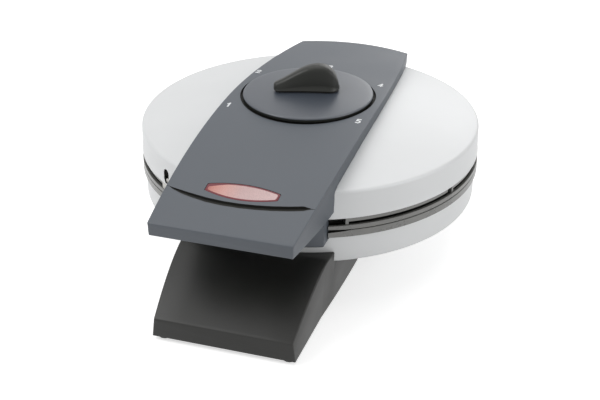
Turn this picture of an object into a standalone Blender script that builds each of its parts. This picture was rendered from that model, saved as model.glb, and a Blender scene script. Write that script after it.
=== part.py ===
"""Heart waffle maker with a hinged lid, a browning dial and a handle that runs over the lid.

Metres, +Z up. The origin is on the table under the middle of the machine, and the front is towards -Y.
The pieces are drawn about the axis of the round shells, with height zero at the parting plane between the
two baking plates, and an empty carries them all to their place. The lid's pieces hang from an empty on the
hinge axis, and the dial's pieces from one on the dial's axis.
"""
import math

import bmesh
import bpy
from mathutils import Vector

# General
GAP = 0.0003
OVERRUN = 0.004
ROUND_STEPS = 62
HIDDEN_STEPS = 30
SMALL_STEPS = 12
SHELL_SHARES = (1 / 3, 2 / 3, 1)
SHOULDER_STEPS = 2
SHOULDER_TURN = 68
SHARP_ANGLE = 35

# Round shells
SHELL_RADIUS = 0.110
SHEET = 0.001
LID_EDGE_HEIGHT = 0.0075
LID_WALL_HEIGHT = 0.0148
LID_SHOULDER_RADIUS = 0.0042
LID_WALL_DRAFT = 0.0006
LID_DOME_RISE = 0.0115
BASE_EDGE_SETBACK = 0.0014
BASE_WALL_HEIGHT = 0.0150
BASE_SHOULDER_RADIUS = 0.0022
BASE_WALL_DRAFT = 0.0004
BASE_DOME_RISE = 0.0110
TABLE_CLEARANCE = 0.0211
SHAFT_HOLE_RADIUS = 0.008
WIRE_HOLE_RADIUS = 0.012
LID_SLOT_WIDTH = 0.0056
LID_SLOT_HEIGHT = 0.0097
LID_SLOT_RISE = 0.0009
LID_SLOT_TURN = 35.8
LID_SLOT_STEPS = 6

# Baking plates
RIM_THICKNESS = 0.0030
LOWER_RIM_THICKNESS = 0.0046
PLATE_INSET = 0.0045
PLATE_THICKNESS = 0.0105
POCKET_DEPTH = 0.0070
POCKET_STUD_HEIGHT = 0.0042
STUD_SIZE = 0.0060
STUD_PITCH = 0.0115
STUD_MARGIN = 0.0040
HEART_COUNT = 5
HEART_REACH = 0.077
HEART_LOBE_RADIUS = 0.019
HEART_TIP_RADIUS = 0.0045
HEART_HALF_ANGLE = 33.5
HEART_LOBE_STEPS = 9
RIM_POST_WIDTH = 0.0022
RIM_POST_COUNT = 4
RIM_POST_FIRST_TURN = 29.4
RIM_POST_NEXT_TURN = 42.1
RIM_POST_SETBACK = 0.0007
RIM_TAB_START = 24.5
RIM_TAB_END = 39
RIM_TAB_STEPS = 4
PLATE_BOSS_STAND_CLEARANCE = 0.00715
PLATE_BOSS_INSET = 0.0275
PLATE_BOSS_RADIUS = 0.0065
BOSS_STEP = 0.0015
MIDDLE_BOSS_SPACING = 0.052
MIDDLE_BOSS_RADIUS = 0.0045
SCREW_RADIUS = 0.0015
SCREW_HEAD_RADIUS = 0.0030
SCREW_HEAD_HEIGHT = 0.0018
SCREW_GRIP_LENGTH = 0.0080

# Heating elements and their reflectors
HEATER_INSET = 0.0505
HEATER_RADIUS = 0.0035
HEATER_TAIL = 0.016
HEATER_OPEN_ANGLE = 24
HEATER_POINTS = 26
REFLECTOR_INSET = 0.0115
REFLECTOR_SHEET = 0.0008
REFLECTOR_LIP = 0.0045
REFLECTOR_DROP = 0.0095
REFLECTOR_HOLE_RADIUS = 0.034

# Handle strap over the lid
STRAP_RISE = 0.0041
STRAP_CREST_SETBACK = 0.010
STRAP_FRONT_REACH = 0.0533
STRAP_REAR_SETBACK = 0.0060
STRAP_FRONT_DROOP = 0.0185
STRAP_REAR_DROOP = 0.0072
STRAP_FRONT_POWER = 1.94
STRAP_REAR_POWER = 1.66
STRAP_HALF_WIDTH = 0.0487
STRAP_WIDEST_SETBACK = 0.0225
STRAP_FRONT_TAPER = 0.0056
STRAP_REAR_TAPER = 0.0095
STRAP_REAR_BOW = 0.0080
STRAP_DRAFT = 0.0005
STRAP_WALL = 0.0028
STRAP_EDGE = 0.0006
STRAP_STATIONS = 24
STRAP_ACROSS = 6
STRAP_POCKET_STATIONS = 8
GRIP_STATIONS = 6
STRAP_UNDERSIDE = 0.027
STRAP_POCKET_RIM = 0.0080
GRIP_UNDERSIDE = 0.0123
GRIP_TIP_LIFT = 0.0032
GRIP_FLOOR = 0.0025

# Closing block under the grip
BLOCK_HALF_WIDTH = 0.043
BLOCK_INNER_SETBACK = 0.0030
BLOCK_OUTER_REACH = 0.0055
BLOCK_DROP = 0.0080
BLOCK_CLEARANCE = 0.0007
BLOCK_STEPS = 13

# Indicator lens, its lamp and the finger groove in front of it
LENS_HALF_LENGTH = 0.0222
LENS_REACH = 0.0157
LENS_HALF_WIDTH = 0.0072
LENS_END_HALF_WIDTH = 0.0031
LENS_THICKNESS = 0.0028
LENS_STEPS = 8
GROOVE_HALF_LENGTH = 0.0430
GROOVE_REACH = 0.0207
GROOVE_REAR_BOW = 0.0058
GROOVE_WIDTH = 0.0065
GROOVE_TIP_WIDTH = 0.0006
GROOVE_DEPTH = 0.0018
GROOVE_LIP = 0.0002
GROOVE_STEPS = 14
LAMP_RADIUS = 0.0030
LAMP_LENGTH = 0.014
LAMP_HOLDER_WALL = 0.0015
LAMP_HOLDER_LENGTH = 0.0110

# Dial, knob and thermostat
DIAL_FORWARD = 0.0047
DIAL_RADIUS = 0.042
DIAL_CLEARANCE = 0.0010
DIAL_PROUD = 0.0019
DIAL_CROWN = 0.0016
DIAL_THICKNESS = 0.0029
DIAL_EDGE = 0.0006
DIAL_TRAY_DEPTH = 0.0021
KNOB_TURN = 201
KNOB_TIP_REACH = 0.0222
KNOB_TAIL_REACH = 0.0200
KNOB_HEIGHT = 0.0157
KNOB_TAIL_RADIUS = 0.0068
KNOB_TIP_RADIUS = 0.0044
KNOB_NECK = 0.0010
KNOB_NECK_INSET = 0.0012
KNOB_ARC_STEPS = 8
KNOB_SHARES = (
    # height, start, tail reach, tail radius, tip radius
    (0.00, 0.00, 1.00, 1.00, 1.00),
    (0.17, 0.005, 0.995, 0.98, 0.90),
    (0.40, 0.15, 0.955, 0.93, 0.82),
    (0.62, 0.29, 0.89, 0.86, 0.76),
    (0.84, 0.43, 0.76, 0.74, 0.66),
    (0.94, 0.52, 0.64, 0.60, 0.52),
    (1.00, 0.62, 0.50, 0.36, 0.36),
)
SHAFT_RADIUS = 0.003
SHAFT_SINK = 0.012
THERMOSTAT_LENGTH = 0.030
THERMOSTAT_WIDTH = 0.024
THERMOSTAT_HEIGHT = 0.014
THERMOSTAT_EDGE = 0.0015

# Stand under the base
STAND_TOE_REACH = 0.0537
STAND_REAR_REACH = 0.014
STAND_BOTTOM_CLEARANCE = 0.0025
STAND_TOE_HEIGHT = 0.0145
STAND_NECK_HEIGHT = 0.0395
STAND_NECK_REACH = 0.0030
STAND_SLOPE_POWER = 1.5
STAND_DECK_HEIGHT = 0.0302
STAND_HALF_WIDTH = 0.0480
STAND_WIDEST_SETBACK = 0.045
STAND_FRONT_TAPER = 0.0054
STAND_REAR_TAPER = 0.0100
STAND_SIDE_LEAN = 0.0022
STAND_FOOT_HALF_WIDTH = 0.0440
STAND_EDGE = 0.0008
STAND_WALL = 0.0028
STAND_STATIONS = 10
STAND_REAR_STATIONS = 6
COVER_THICKNESS = 0.0024
FOOT_RADIUS = 0.0042
FOOT_SINK = 0.0010
FOOT_EDGE = 0.0006
FOOT_INSET = 0.0068
COVER_SCREW_FRONT_INSET = 0.040
COVER_SCREW_REAR_INSET = 0.036
COVER_SCREW_SIDE_INSET = 0.0085
COVER_BOSS_RADIUS = 0.0036

# Hinge at the back
HINGE_SETBACK = 0.0065
HINGE_HEIGHT = 0.002
HINGE_PIN_RADIUS = 0.0025
HINGE_BARREL_RADIUS = 0.0066
HINGE_BARREL_HALF_LENGTH = 0.0290
HINGE_EAR_WIDTH = 0.0065
HINGE_PIN_OVERHANG = 0.0010
HINGE_ARM_LOW = 0.009
HINGE_ARM_HIGH = 0.021
HINGE_ARM_REACH = 0.0040
HINGE_FOOT_THICKNESS = 0.0050
HINGE_STEPS = 20
HINGE_ARM_START = -110
HINGE_ARM_END = 70

# Electrical pieces in the stand
GLAND_RADIUS = 0.0065
GLAND_BORE = 0.0036
GLAND_FLANGE = 0.0018
GLAND_FLANGE_WIDTH = 0.0015
TERMINAL_LENGTH = 0.034
TERMINAL_WIDTH = 0.014
TERMINAL_HEIGHT = 0.0075
TERMINAL_EDGE = 0.0010
TERMINAL_FORWARD_OF_REAR = 0.055
FUSE_RADIUS = 0.0022
FUSE_LENGTH = 0.013
FUSE_FORWARD = 0.030

# Places that follow from the sizes above
LID_SHOULDER_HEIGHT = LID_EDGE_HEIGHT + LID_WALL_HEIGHT
LID_DOME_EDGE = SHELL_RADIUS - LID_WALL_DRAFT - LID_SHOULDER_RADIUS
LID_CREST = LID_SHOULDER_HEIGHT + LID_SHOULDER_RADIUS + LID_DOME_RISE
BASE_EDGE_HEIGHT = -LOWER_RIM_THICKNESS - 2 * GAP
BASE_EDGE_RADIUS = SHELL_RADIUS - BASE_EDGE_SETBACK
BASE_SHOULDER_HEIGHT = BASE_EDGE_HEIGHT - BASE_WALL_HEIGHT
BASE_DOME_EDGE = BASE_EDGE_RADIUS - BASE_WALL_DRAFT - BASE_SHOULDER_RADIUS
BASE_CREST = BASE_SHOULDER_HEIGHT - BASE_SHOULDER_RADIUS - BASE_DOME_RISE
PLATE_RADIUS = SHELL_RADIUS - PLATE_INSET
PLATE_BOSS_RING = PLATE_RADIUS - PLATE_BOSS_INSET
PLATE_BOSS_SIDE = STAND_HALF_WIDTH + PLATE_BOSS_STAND_CLEARANCE
HEATER_RING = PLATE_RADIUS - HEATER_INSET
REFLECTOR_RADIUS = PLATE_RADIUS - REFLECTOR_INSET
STRAP_CREST = LID_CREST + STRAP_RISE
STRAP_FRONT = -SHELL_RADIUS - STRAP_FRONT_REACH
STRAP_REAR = SHELL_RADIUS - STRAP_REAR_SETBACK
LENS_FORWARD = SHELL_RADIUS + LENS_REACH
GROOVE_END_FORWARD = SHELL_RADIUS + GROOVE_REACH
DIAL_PLACE = Vector((0, -DIAL_FORWARD, STRAP_CREST))
DIAL_TRAY = STRAP_CREST - DIAL_TRAY_DEPTH
DIAL_TOP = STRAP_CREST + DIAL_PROUD
DIAL_BOTTOM = DIAL_TOP - DIAL_THICKNESS
HINGE_PLACE = Vector((0, SHELL_RADIUS + HINGE_SETBACK, HINGE_HEIGHT))
STAND_FRONT = -SHELL_RADIUS - STAND_TOE_REACH
STAND_REAR = SHELL_RADIUS + STAND_REAR_REACH
GROUND = BASE_CREST - TABLE_CLEARANCE
STAND_LOW = GROUND + STAND_BOTTOM_CLEARANCE
STAND_TOE_TOP = GROUND + STAND_TOE_HEIGHT
STAND_NECK_TOP = GROUND + STAND_NECK_HEIGHT
STAND_DECK = GROUND + STAND_DECK_HEIGHT
COVER_TOP = STAND_LOW + COVER_THICKNESS
MACHINE_PLACE = Vector((0, -(STAND_FRONT + STAND_REAR) / 2, -GROUND))


def clear_scene():
    for thing in list(bpy.data.objects):
        bpy.data.objects.remove(thing, do_unlink=True)


def make_material(name, colour, roughness, metallic=0.0):
    material = bpy.data.materials.new(name)
    material.use_nodes = True
    shader = material.node_tree.nodes["Principled BSDF"]
    shader.inputs["Base Color"].default_value = (*colour, 1.0)
    shader.inputs["Roughness"].default_value = roughness
    shader.inputs["Metallic"].default_value = metallic
    return material


def make_pivot(name, place, parent=None):
    """An empty at a place given in the machine's own frame."""
    pivot = bpy.data.objects.new(name, None)
    pivot["place"] = tuple(place)
    pivot.location = Vector(place) - own_place(parent)
    pivot.parent = parent
    bpy.context.collection.objects.link(pivot)
    return pivot


def own_place(pivot):
    if pivot is None or pivot.parent is None:
        return Vector((0, 0, 0))
    return Vector(pivot["place"])


def finish(name, bm, pivot, material=None, smooth=True):
    """Turn a bmesh into an object on its pivot; without a material it is a cutter."""
    bmesh.ops.recalc_face_normals(bm, faces=bm.faces)
    mesh = bpy.data.meshes.new(name)
    bm.to_mesh(mesh)
    bm.free()
    thing = bpy.data.objects.new(name, mesh)
    thing.parent = pivot
    thing.location = -own_place(pivot)
    bpy.context.collection.objects.link(thing)
    if material is None:
        thing.hide_render = True
        thing.display_type = "WIRE"
        return thing
    mesh.materials.append(material)
    if smooth:
        mesh.shade_smooth()
        mesh.set_sharp_from_angle(angle=math.radians(SHARP_ANGLE))
    return thing


def cut(target, cutter, operation="DIFFERENCE"):
    change = target.modifiers.new(cutter.name, "BOOLEAN")
    change.operation = operation
    change.solver = "EXACT"
    change.object = cutter


def join(target, added):
    """Add a helper shape to a piece, so that both are one body."""
    added.hide_render = True
    added.display_type = "WIRE"
    cut(target, added, "UNION")


def lathe(bm, profile, steps=ROUND_STEPS, centre=(0, 0)):
    """Turn a closed outline of (radius, height) points about an upright axis."""
    flat_ends = profile[0][0] <= 0 and profile[0][1] == profile[1][1] and profile[-1][1] == profile[-2][1]
    if flat_ends:
        profile = profile[1:-1]
    rings = []
    for radius, height in profile:
        if radius <= 0:
            rings.append([bm.verts.new((centre[0], centre[1], height))] * steps)
            continue
        ring = []
        for step in range(steps):
            turn = 2 * math.pi * step / steps
            across = centre[0] + radius * math.cos(turn)
            along = centre[1] + radius * math.sin(turn)
            ring.append(bm.verts.new((across, along, height)))
        rings.append(ring)
    if flat_ends:
        bm.faces.new(rings[0])
        bm.faces.new(rings[-1])
    for here, there in zip(rings, rings[1:] if flat_ends else rings[1:] + rings[:1]):
        for step in range(steps):
            after = (step + 1) % steps
            corners = []
            for corner in (here[step], here[after], there[after], there[step]):
                if corner not in corners:
                    corners.append(corner)
            if len(corners) > 2:
                bm.faces.new(corners)


def loft(bm, rings, flat_end=True):
    """A skin over rings of points, each ring having as many points as the next.

    It is closed at both ends, but where the last ring isn't flat the caller closes that end.
    """
    rows = [[bm.verts.new(point) for point in ring] for ring in rings]
    for here, there in zip(rows, rows[1:]):
        for step in range(len(here)):
            after = (step + 1) % len(here)
            bm.faces.new((here[step], here[after], there[after], there[step]))
    bm.faces.new(rows[0])
    if flat_end:
        bm.faces.new(rows[-1])
    return rows[-1]


def prism(bm, outline, low, high):
    """An upright block over an outline of (x, y) points."""
    loft(bm, [[(x, y, level) for x, y in outline] for level in (low, high)])


def slab(bm, outline, left, right):
    """A block over an outline of (y, z) points, from left to right along X."""
    loft(bm, [[(across, y, z) for y, z in outline] for across in (left, right)])


def rectangle(half_width, half_length, centre=(0, 0)):
    x, y = centre
    return [(x - half_width, y - half_length), (x + half_width, y - half_length),
            (x + half_width, y + half_length), (x - half_width, y + half_length)]


def disc(centre, radius, steps=SMALL_STEPS):
    return [(centre[0] + radius * math.cos(2 * math.pi * step / steps),
             centre[1] + radius * math.sin(2 * math.pi * step / steps)) for step in range(steps)]


def arc(centre, radius, start, end, steps):
    """Points along a circle, from one angle to another in degrees."""
    points = []
    for step in range(steps + 1):
        turn = math.radians(start + (end - start) * step / steps)
        points.append((centre[0] + radius * math.cos(turn), centre[1] + radius * math.sin(turn)))
    return points


def upright_pin(name, centre, radius, low, high, pivot, material=None):
    bm = bmesh.new()
    prism(bm, disc(centre, radius), low, high)
    return finish(name, bm, pivot, material)


def lid_outside(offset=0.0):
    """The lid shell's outer outline, from the middle of the dome to the lower edge."""
    points = []
    for share in SHELL_SHARES:
        radius = LID_DOME_EDGE * share
        points.append((radius, lid_height(radius) + offset))
    shoulder = (LID_DOME_EDGE, LID_SHOULDER_HEIGHT)
    points += arc(shoulder, LID_SHOULDER_RADIUS + offset, SHOULDER_TURN, 0, SHOULDER_STEPS)
    points.append((SHELL_RADIUS + offset, LID_EDGE_HEIGHT))
    return points


def lid_height(radius):
    return LID_CREST - LID_DOME_RISE * (radius / LID_DOME_EDGE) ** 2


def base_outside(offset=0.0):
    """The base shell's outer outline, from the middle of its underside to the upper edge."""
    points = []
    for share in SHELL_SHARES:
        radius = BASE_DOME_EDGE * share
        points.append((radius, base_height(radius) - offset))
    shoulder = (BASE_DOME_EDGE, BASE_SHOULDER_HEIGHT)
    points += arc(shoulder, BASE_SHOULDER_RADIUS + offset, -SHOULDER_TURN, 0, SHOULDER_STEPS)
    points.append((BASE_EDGE_RADIUS + offset, BASE_EDGE_HEIGHT))
    return points


def base_height(radius):
    return BASE_CREST + BASE_DOME_RISE * (radius / BASE_DOME_EDGE) ** 2


def hole_edge(crest, outline, hole_radius):
    """Where a round hole cuts the straight line from the crest to the outline's first point."""
    radius, height = outline[0]
    return hole_radius, crest + (height - crest) * hole_radius / radius


def thin_shell(name, outside, crest, side, hole_radius, pivot, material):
    """Sheet metal pressed to an outline, with a round hole in its middle."""
    outer = outside(0.0)
    inner = outside(-SHEET)
    outer.insert(0, hole_edge(crest, outer, hole_radius))
    inner.insert(0, hole_edge(crest - side * SHEET, inner, hole_radius))
    bm = bmesh.new()
    lathe(bm, outer + inner[::-1])
    return finish(name, bm, pivot, material)


def lid_space(name, pivot):
    """The room that the lid shell takes, with the gap that its neighbours keep."""
    bm = bmesh.new()
    profile = [(0, LID_CREST + GAP)] + lid_outside(GAP)
    profile += [(SHELL_RADIUS + GAP, STAND_LOW), (0, STAND_LOW)]
    lathe(bm, profile)
    return finish(name, bm, pivot)


def base_space(name, pivot):
    """The room that the base shell and the plates' rims take."""
    bm = bmesh.new()
    profile = [(0, BASE_CREST - GAP)] + base_outside(GAP)
    profile += [(SHELL_RADIUS + GAP, BASE_EDGE_HEIGHT), (SHELL_RADIUS + GAP, LID_CREST), (0, LID_CREST)]
    lathe(bm, profile)
    return finish(name, bm, pivot)


def block_outline(inner, outer, half_width):
    """A strip of the round shell's front, with straight sides."""
    across = [half_width * (2 * step / BLOCK_STEPS - 1) for step in range(BLOCK_STEPS + 1)]
    back = [(x, -math.sqrt(inner ** 2 - x ** 2)) for x in across]
    front = [(x, -math.sqrt(outer ** 2 - x ** 2)) for x in across]
    return back + front[::-1]


def front_gap(name, pivot):
    """The notch in shells and rims that the closing block hangs in."""
    bm = bmesh.new()
    inner = SHELL_RADIUS - BLOCK_INNER_SETBACK - BLOCK_CLEARANCE
    outer = SHELL_RADIUS + BLOCK_OUTER_REACH + OVERRUN
    outline = block_outline(inner, outer, BLOCK_HALF_WIDTH + BLOCK_CLEARANCE)
    prism(bm, outline, -BLOCK_DROP - BLOCK_CLEARANCE, GRIP_UNDERSIDE + GRIP_FLOOR + GAP)
    return finish(name, bm, pivot)


def heart_outline(direction):
    """One waffle heart: its tip is near the middle and its two lobes lie outwards."""
    angle = math.radians(HEART_HALF_ANGLE)
    lobe_u = HEART_REACH - HEART_LOBE_RADIUS
    lobe_v = ((lobe_u - HEART_TIP_RADIUS) * math.sin(angle) - HEART_LOBE_RADIUS) / math.cos(angle)
    meet = math.degrees(math.acos(min(1.0, lobe_v / HEART_LOBE_RADIUS)))
    left = arc((lobe_u, lobe_v), HEART_LOBE_RADIUS, 90 + HEART_HALF_ANGLE, meet - 90, HEART_LOBE_STEPS)
    right = [(u, -v) for u, v in left[::-1][1:]]
    points = [(HEART_TIP_RADIUS, 0)] + left + right
    turn = math.radians(direction)
    return [(u * math.cos(turn) - v * math.sin(turn), u * math.sin(turn) + v * math.cos(turn))
            for u, v in points]


def inside_heart(u, v):
    """Whether a stud's middle lies well inside a heart that points along +u."""
    slope = math.radians(HEART_HALF_ANGLE)
    reach = STUD_SIZE / 2 + STUD_MARGIN
    lobe_u = HEART_REACH - HEART_LOBE_RADIUS
    lobe_v = ((lobe_u - HEART_TIP_RADIUS) * math.sin(slope) - HEART_LOBE_RADIUS) / math.cos(slope)
    if u < lobe_u:
        return (u - HEART_TIP_RADIUS) * math.sin(slope) - abs(v) * math.cos(slope) > reach
    return math.hypot(u - lobe_u, abs(v) - lobe_v) < HEART_LOBE_RADIUS - reach


def stud_places(direction):
    """Places of the square studs that mark one heart's grid."""
    turn = math.radians(direction)
    count = int(HEART_REACH / STUD_PITCH) + 1
    places = []
    for row in range(count):
        for column in range(-count, count + 1):
            u = (row + 1 / 2) * STUD_PITCH
            v = column * STUD_PITCH
            if inside_heart(u, v):
                x = u * math.cos(turn) - v * math.sin(turn)
                y = u * math.sin(turn) + v * math.cos(turn)
                places.append((x, y, turn))
    return places


def heart_cutter(name, side, pivot):
    """The five heart-shaped pockets of one plate; side is 1 on the upper plate and -1 on the lower."""
    bm = bmesh.new()
    for number in range(HEART_COUNT):
        outline = heart_outline(90 + 360 * number / HEART_COUNT)
        prism(bm, outline, -side * OVERRUN, side * POCKET_DEPTH)
    return finish(name, bm, pivot)


def heart_studs(name, side, pivot):
    bm = bmesh.new()
    floor = side * (POCKET_DEPTH + SHEET)
    crown = side * (POCKET_DEPTH - POCKET_STUD_HEIGHT)
    for number in range(HEART_COUNT):
        for x, y, turn in stud_places(90 + 360 * number / HEART_COUNT):
            half = STUD_SIZE / 2
            outline = []
            for du, dv in ((-half, -half), (half, -half), (half, half), (-half, half)):
                outline.append((x + du * math.cos(turn) - dv * math.sin(turn),
                                y + du * math.sin(turn) + dv * math.cos(turn)))
            prism(bm, outline, floor, crown)
    return finish(name, bm, pivot)


def boss_places():
    """One boss in each quarter of a plate, beside the stand, where a screw can reach it."""
    x = PLATE_BOSS_SIDE
    y = math.sqrt(PLATE_BOSS_RING ** 2 - x ** 2)
    return (x, y), (-x, y), (-x, -y), (x, -y)


def boss_profile(side, shell_height):
    """A cast boss with a step that carries the reflector; it ends just short of the shell."""
    foot = side * (PLATE_THICKNESS - SHEET)
    step = side * (PLATE_THICKNESS + REFLECTOR_DROP - GAP)
    end = shell_height(PLATE_BOSS_RING + PLATE_BOSS_RADIUS) - side * (SHEET + GAP)
    slim = PLATE_BOSS_RADIUS - BOSS_STEP
    return [(0, foot), (PLATE_BOSS_RADIUS, foot), (PLATE_BOSS_RADIUS, step),
            (slim, step), (slim, end), (0, end)]


def baking_plate(name, side, rim_thickness, shell_height, pivot, material):
    """A cast plate with a flat rim, five heart pockets, studs and four bosses."""
    face = side * GAP / 2
    rim = side * rim_thickness
    back = side * PLATE_THICKNESS
    bm = bmesh.new()
    lathe(bm, [(0, face), (SHELL_RADIUS, face), (SHELL_RADIUS, rim), (PLATE_RADIUS, rim),
               (PLATE_RADIUS, back), (0, back)])
    plate = finish(name, bm, pivot, material)
    bm = bmesh.new()
    for place in boss_places():
        lathe(bm, boss_profile(side, shell_height), SMALL_STEPS, place)
    join(plate, finish(name + "_bosses", bm, pivot))
    cut(plate, heart_cutter(name + "_hearts", side, pivot))
    join(plate, heart_studs(name + "_studs", side, pivot))
    cut(plate, front_gap(name + "_notch", pivot))
    return plate


def rim_posts(plate, pivot):
    """Short posts on the upper plate's rim, which carry the lid shell's edge.

    On the left of the grip a longer tab stands in place of the first post.
    """
    low = RIM_THICKNESS - SHEET
    high = LID_EDGE_HEIGHT - GAP
    outer = SHELL_RADIUS - RIM_POST_SETBACK
    inner = PLATE_RADIUS - SHEET
    tab_start, tab_end = -90 - RIM_TAB_START, -90 - RIM_TAB_END
    bm = bmesh.new()
    tab = arc((0, 0), outer, tab_end, tab_start, RIM_TAB_STEPS)
    tab += arc((0, 0), inner, tab_start, tab_end, RIM_TAB_STEPS)
    prism(bm, tab, low, high)
    for number in range(1, 2 * RIM_POST_COUNT):
        from_front = RIM_POST_FIRST_TURN + RIM_POST_NEXT_TURN * (number // 2)
        turn = math.radians(-90 + from_front * (1 if number % 2 else -1))
        outline = []
        for reach, side in ((outer, -1), (outer, 1), (inner, 1), (inner, -1)):
            width = side * RIM_POST_WIDTH / 2
            outline.append((reach * math.cos(turn) - width * math.sin(turn),
                            reach * math.sin(turn) + width * math.cos(turn)))
        prism(bm, outline, low, high)
    join(plate, finish("upper_plate_posts", bm, pivot))


def base_screws(shell, plate, pivot, material):
    """Screws from outside the base shell into the lower plate's bosses."""
    seat = base_height(PLATE_BOSS_RING - SCREW_HEAD_RADIUS) - GAP
    tip = seat + SCREW_GRIP_LENGTH
    for number, place in enumerate(boss_places()):
        name = "base_screw_" + str(number + 1)
        hole = upright_pin(name + "_hole", place, SCREW_RADIUS + GAP, seat - OVERRUN, tip + GAP, pivot)
        cut(shell, hole)
        cut(plate, hole)
        screw(name, place, tip, seat, -1, pivot, material)


def screw(name, place, tip, seat, side, pivot, material):
    """A pan-head screw; its head stands on the side that side says, 1 up and -1 down."""
    bm = bmesh.new()
    crown = seat + side * SCREW_HEAD_HEIGHT
    lathe(bm, [(0, tip), (SCREW_RADIUS, tip), (SCREW_RADIUS, seat), (SCREW_HEAD_RADIUS, seat),
               (SCREW_HEAD_RADIUS, (seat + crown) / 2), (SCREW_RADIUS, crown), (0, crown)],
          SMALL_STEPS, place)
    return finish(name, bm, pivot, material)


def heating_element(name, side, pivot, material):
    """A tubular heater bent to an open ring, with two straight ends towards the back."""
    height = side * (PLATE_THICKNESS + GAP + HEATER_RADIUS)
    start = 90 + HEATER_OPEN_ANGLE / 2
    ring = arc((0, 0), HEATER_RING, start, start + 360 - HEATER_OPEN_ANGLE, HEATER_POINTS)
    points = [(ring[0][0], ring[0][1] + HEATER_TAIL)] + ring + [(ring[-1][0], ring[-1][1] + HEATER_TAIL)]
    curve = bpy.data.curves.new(name, "CURVE")
    curve.dimensions = "3D"
    curve.bevel_depth = HEATER_RADIUS
    curve.bevel_resolution = 2
    curve.use_fill_caps = True
    spline = curve.splines.new("POLY")
    spline.points.add(len(points) - 1)
    for number, (x, y) in enumerate(points):
        spline.points[number].co = (x, y, height, 1)
    curve.materials.append(material)
    thing = bpy.data.objects.new(name, curve)
    thing.parent = pivot
    thing.location = -own_place(pivot)
    bpy.context.collection.objects.link(thing)


def reflector(name, side, pivot, material):
    """A thin pan behind the heating element, hung on the steps of the plate's bosses."""
    near = side * (PLATE_THICKNESS + REFLECTOR_DROP)
    far = near + side * REFLECTOR_SHEET
    lip = near - side * REFLECTOR_LIP
    rim = REFLECTOR_RADIUS - REFLECTOR_SHEET
    bm = bmesh.new()
    lathe(bm, [(REFLECTOR_HOLE_RADIUS, near), (rim, near), (rim, lip), (REFLECTOR_RADIUS, lip),
               (REFLECTOR_RADIUS, far), (REFLECTOR_HOLE_RADIUS, far)], HIDDEN_STEPS)
    pan = finish(name, bm, pivot, material)
    bm = bmesh.new()
    hole = PLATE_BOSS_RADIUS - BOSS_STEP + GAP
    for place in boss_places():
        prism(bm, disc(place, hole), near - side * OVERRUN, far + side * OVERRUN)
    cut(pan, finish(name + "_holes", bm, pivot))


def lid_shell(pivot, material):
    shell = thin_shell("lid_shell", lid_outside, LID_CREST, 1, SHAFT_HOLE_RADIUS, pivot, material)
    cut(shell, front_gap("lid_shell_notch", pivot))
    bm = bmesh.new()
    low = LID_EDGE_HEIGHT + LID_SLOT_RISE
    half = LID_SLOT_WIDTH / 2
    outline = arc((0, low + LID_SLOT_HEIGHT - half), half, 0, 180, LID_SLOT_STEPS)
    outline += arc((0, low + half), half, 180, 360, LID_SLOT_STEPS)
    turn = math.radians(LID_SLOT_TURN)
    rings = []
    for reach in (SHELL_RADIUS - OVERRUN, SHELL_RADIUS + OVERRUN):
        rings.append([(-reach * math.sin(turn) + across * math.cos(turn),
                       -reach * math.cos(turn) - across * math.sin(turn), z) for across, z in outline])
    loft(bm, rings)
    cut(shell, finish("lid_shell_slot", bm, pivot))
    return shell


def base_shell(pivot, material):
    shell = thin_shell("base_shell", base_outside, BASE_CREST, -1, WIRE_HOLE_RADIUS, pivot, material)
    cut(shell, front_gap("base_shell_notch", pivot))
    return shell


def strap_top(y):
    """Height of the strap's upper face, which falls away on both sides of its crest."""
    crest = -STRAP_CREST_SETBACK
    if y < crest:
        share = (crest - y) / (crest - STRAP_FRONT)
        return STRAP_CREST - STRAP_FRONT_DROOP * share ** STRAP_FRONT_POWER
    share = (y - crest) / (STRAP_REAR - crest)
    return STRAP_CREST - STRAP_REAR_DROOP * share ** STRAP_REAR_POWER


def strap_half(y):
    """Half the strap's width, which is greatest just in front of the dial."""
    widest = -STRAP_WIDEST_SETBACK
    if y < widest:
        return STRAP_HALF_WIDTH - STRAP_FRONT_TAPER * ((widest - y) / (widest - STRAP_FRONT)) ** 2
    return STRAP_HALF_WIDTH - STRAP_REAR_TAPER * ((y - widest) / (STRAP_REAR - widest)) ** 2


def strap_low(y):
    """Height of the side walls' lower edge: low along the grip, high where the strap lies on the dome."""
    block = -SHELL_RADIUS - BLOCK_OUTER_REACH
    if y < block:
        return GRIP_UNDERSIDE + GRIP_TIP_LIFT * (block - y) / (block - STRAP_FRONT)
    if y < -strap_meet():
        return GRIP_UNDERSIDE
    return STRAP_UNDERSIDE


def strap_meet():
    """How far in front of the shell's axis the strap's sides run into the shell's wall."""
    return math.sqrt(SHELL_RADIUS ** 2 - STRAP_HALF_WIDTH ** 2) - STRAP_WALL


def strap_ring(y, shift):
    """One cross-section of the strap; shift bows its rear end outwards."""
    half = strap_half(y)
    top = strap_top(y)
    low = strap_low(y)
    ring = []
    shares = [2 * step / STRAP_ACROSS - 1 for step in range(STRAP_ACROSS + 1)]
    for share in shares:
        ring.append((share * (half - STRAP_DRAFT), y + shift * (1 - share ** 2), low))
    ring.append((half, y, top - STRAP_EDGE))
    for share in shares[::-1]:
        ring.append((share * (half - STRAP_EDGE), y + shift * (1 - share ** 2), top))
    ring.append((-half, y, top - STRAP_EDGE))
    return ring


def close_bowed_end(bm, ring):
    """The strap's rear wall, in upright strips, because its points don't lie in one plane."""
    last = 2 * STRAP_ACROSS + 2
    for step in range(STRAP_ACROSS):
        bm.faces.new((ring[step], ring[step + 1], ring[last - step - 1], ring[last - step]))
    bm.faces.new(ring[STRAP_ACROSS:STRAP_ACROSS + 3])
    bm.faces.new((ring[last], ring[last + 1], ring[0]))


def stations(start, end, count):
    """Evenly spaced places from start to end."""
    return [start + (end - start) * step / count for step in range(count + 1)]


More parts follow.
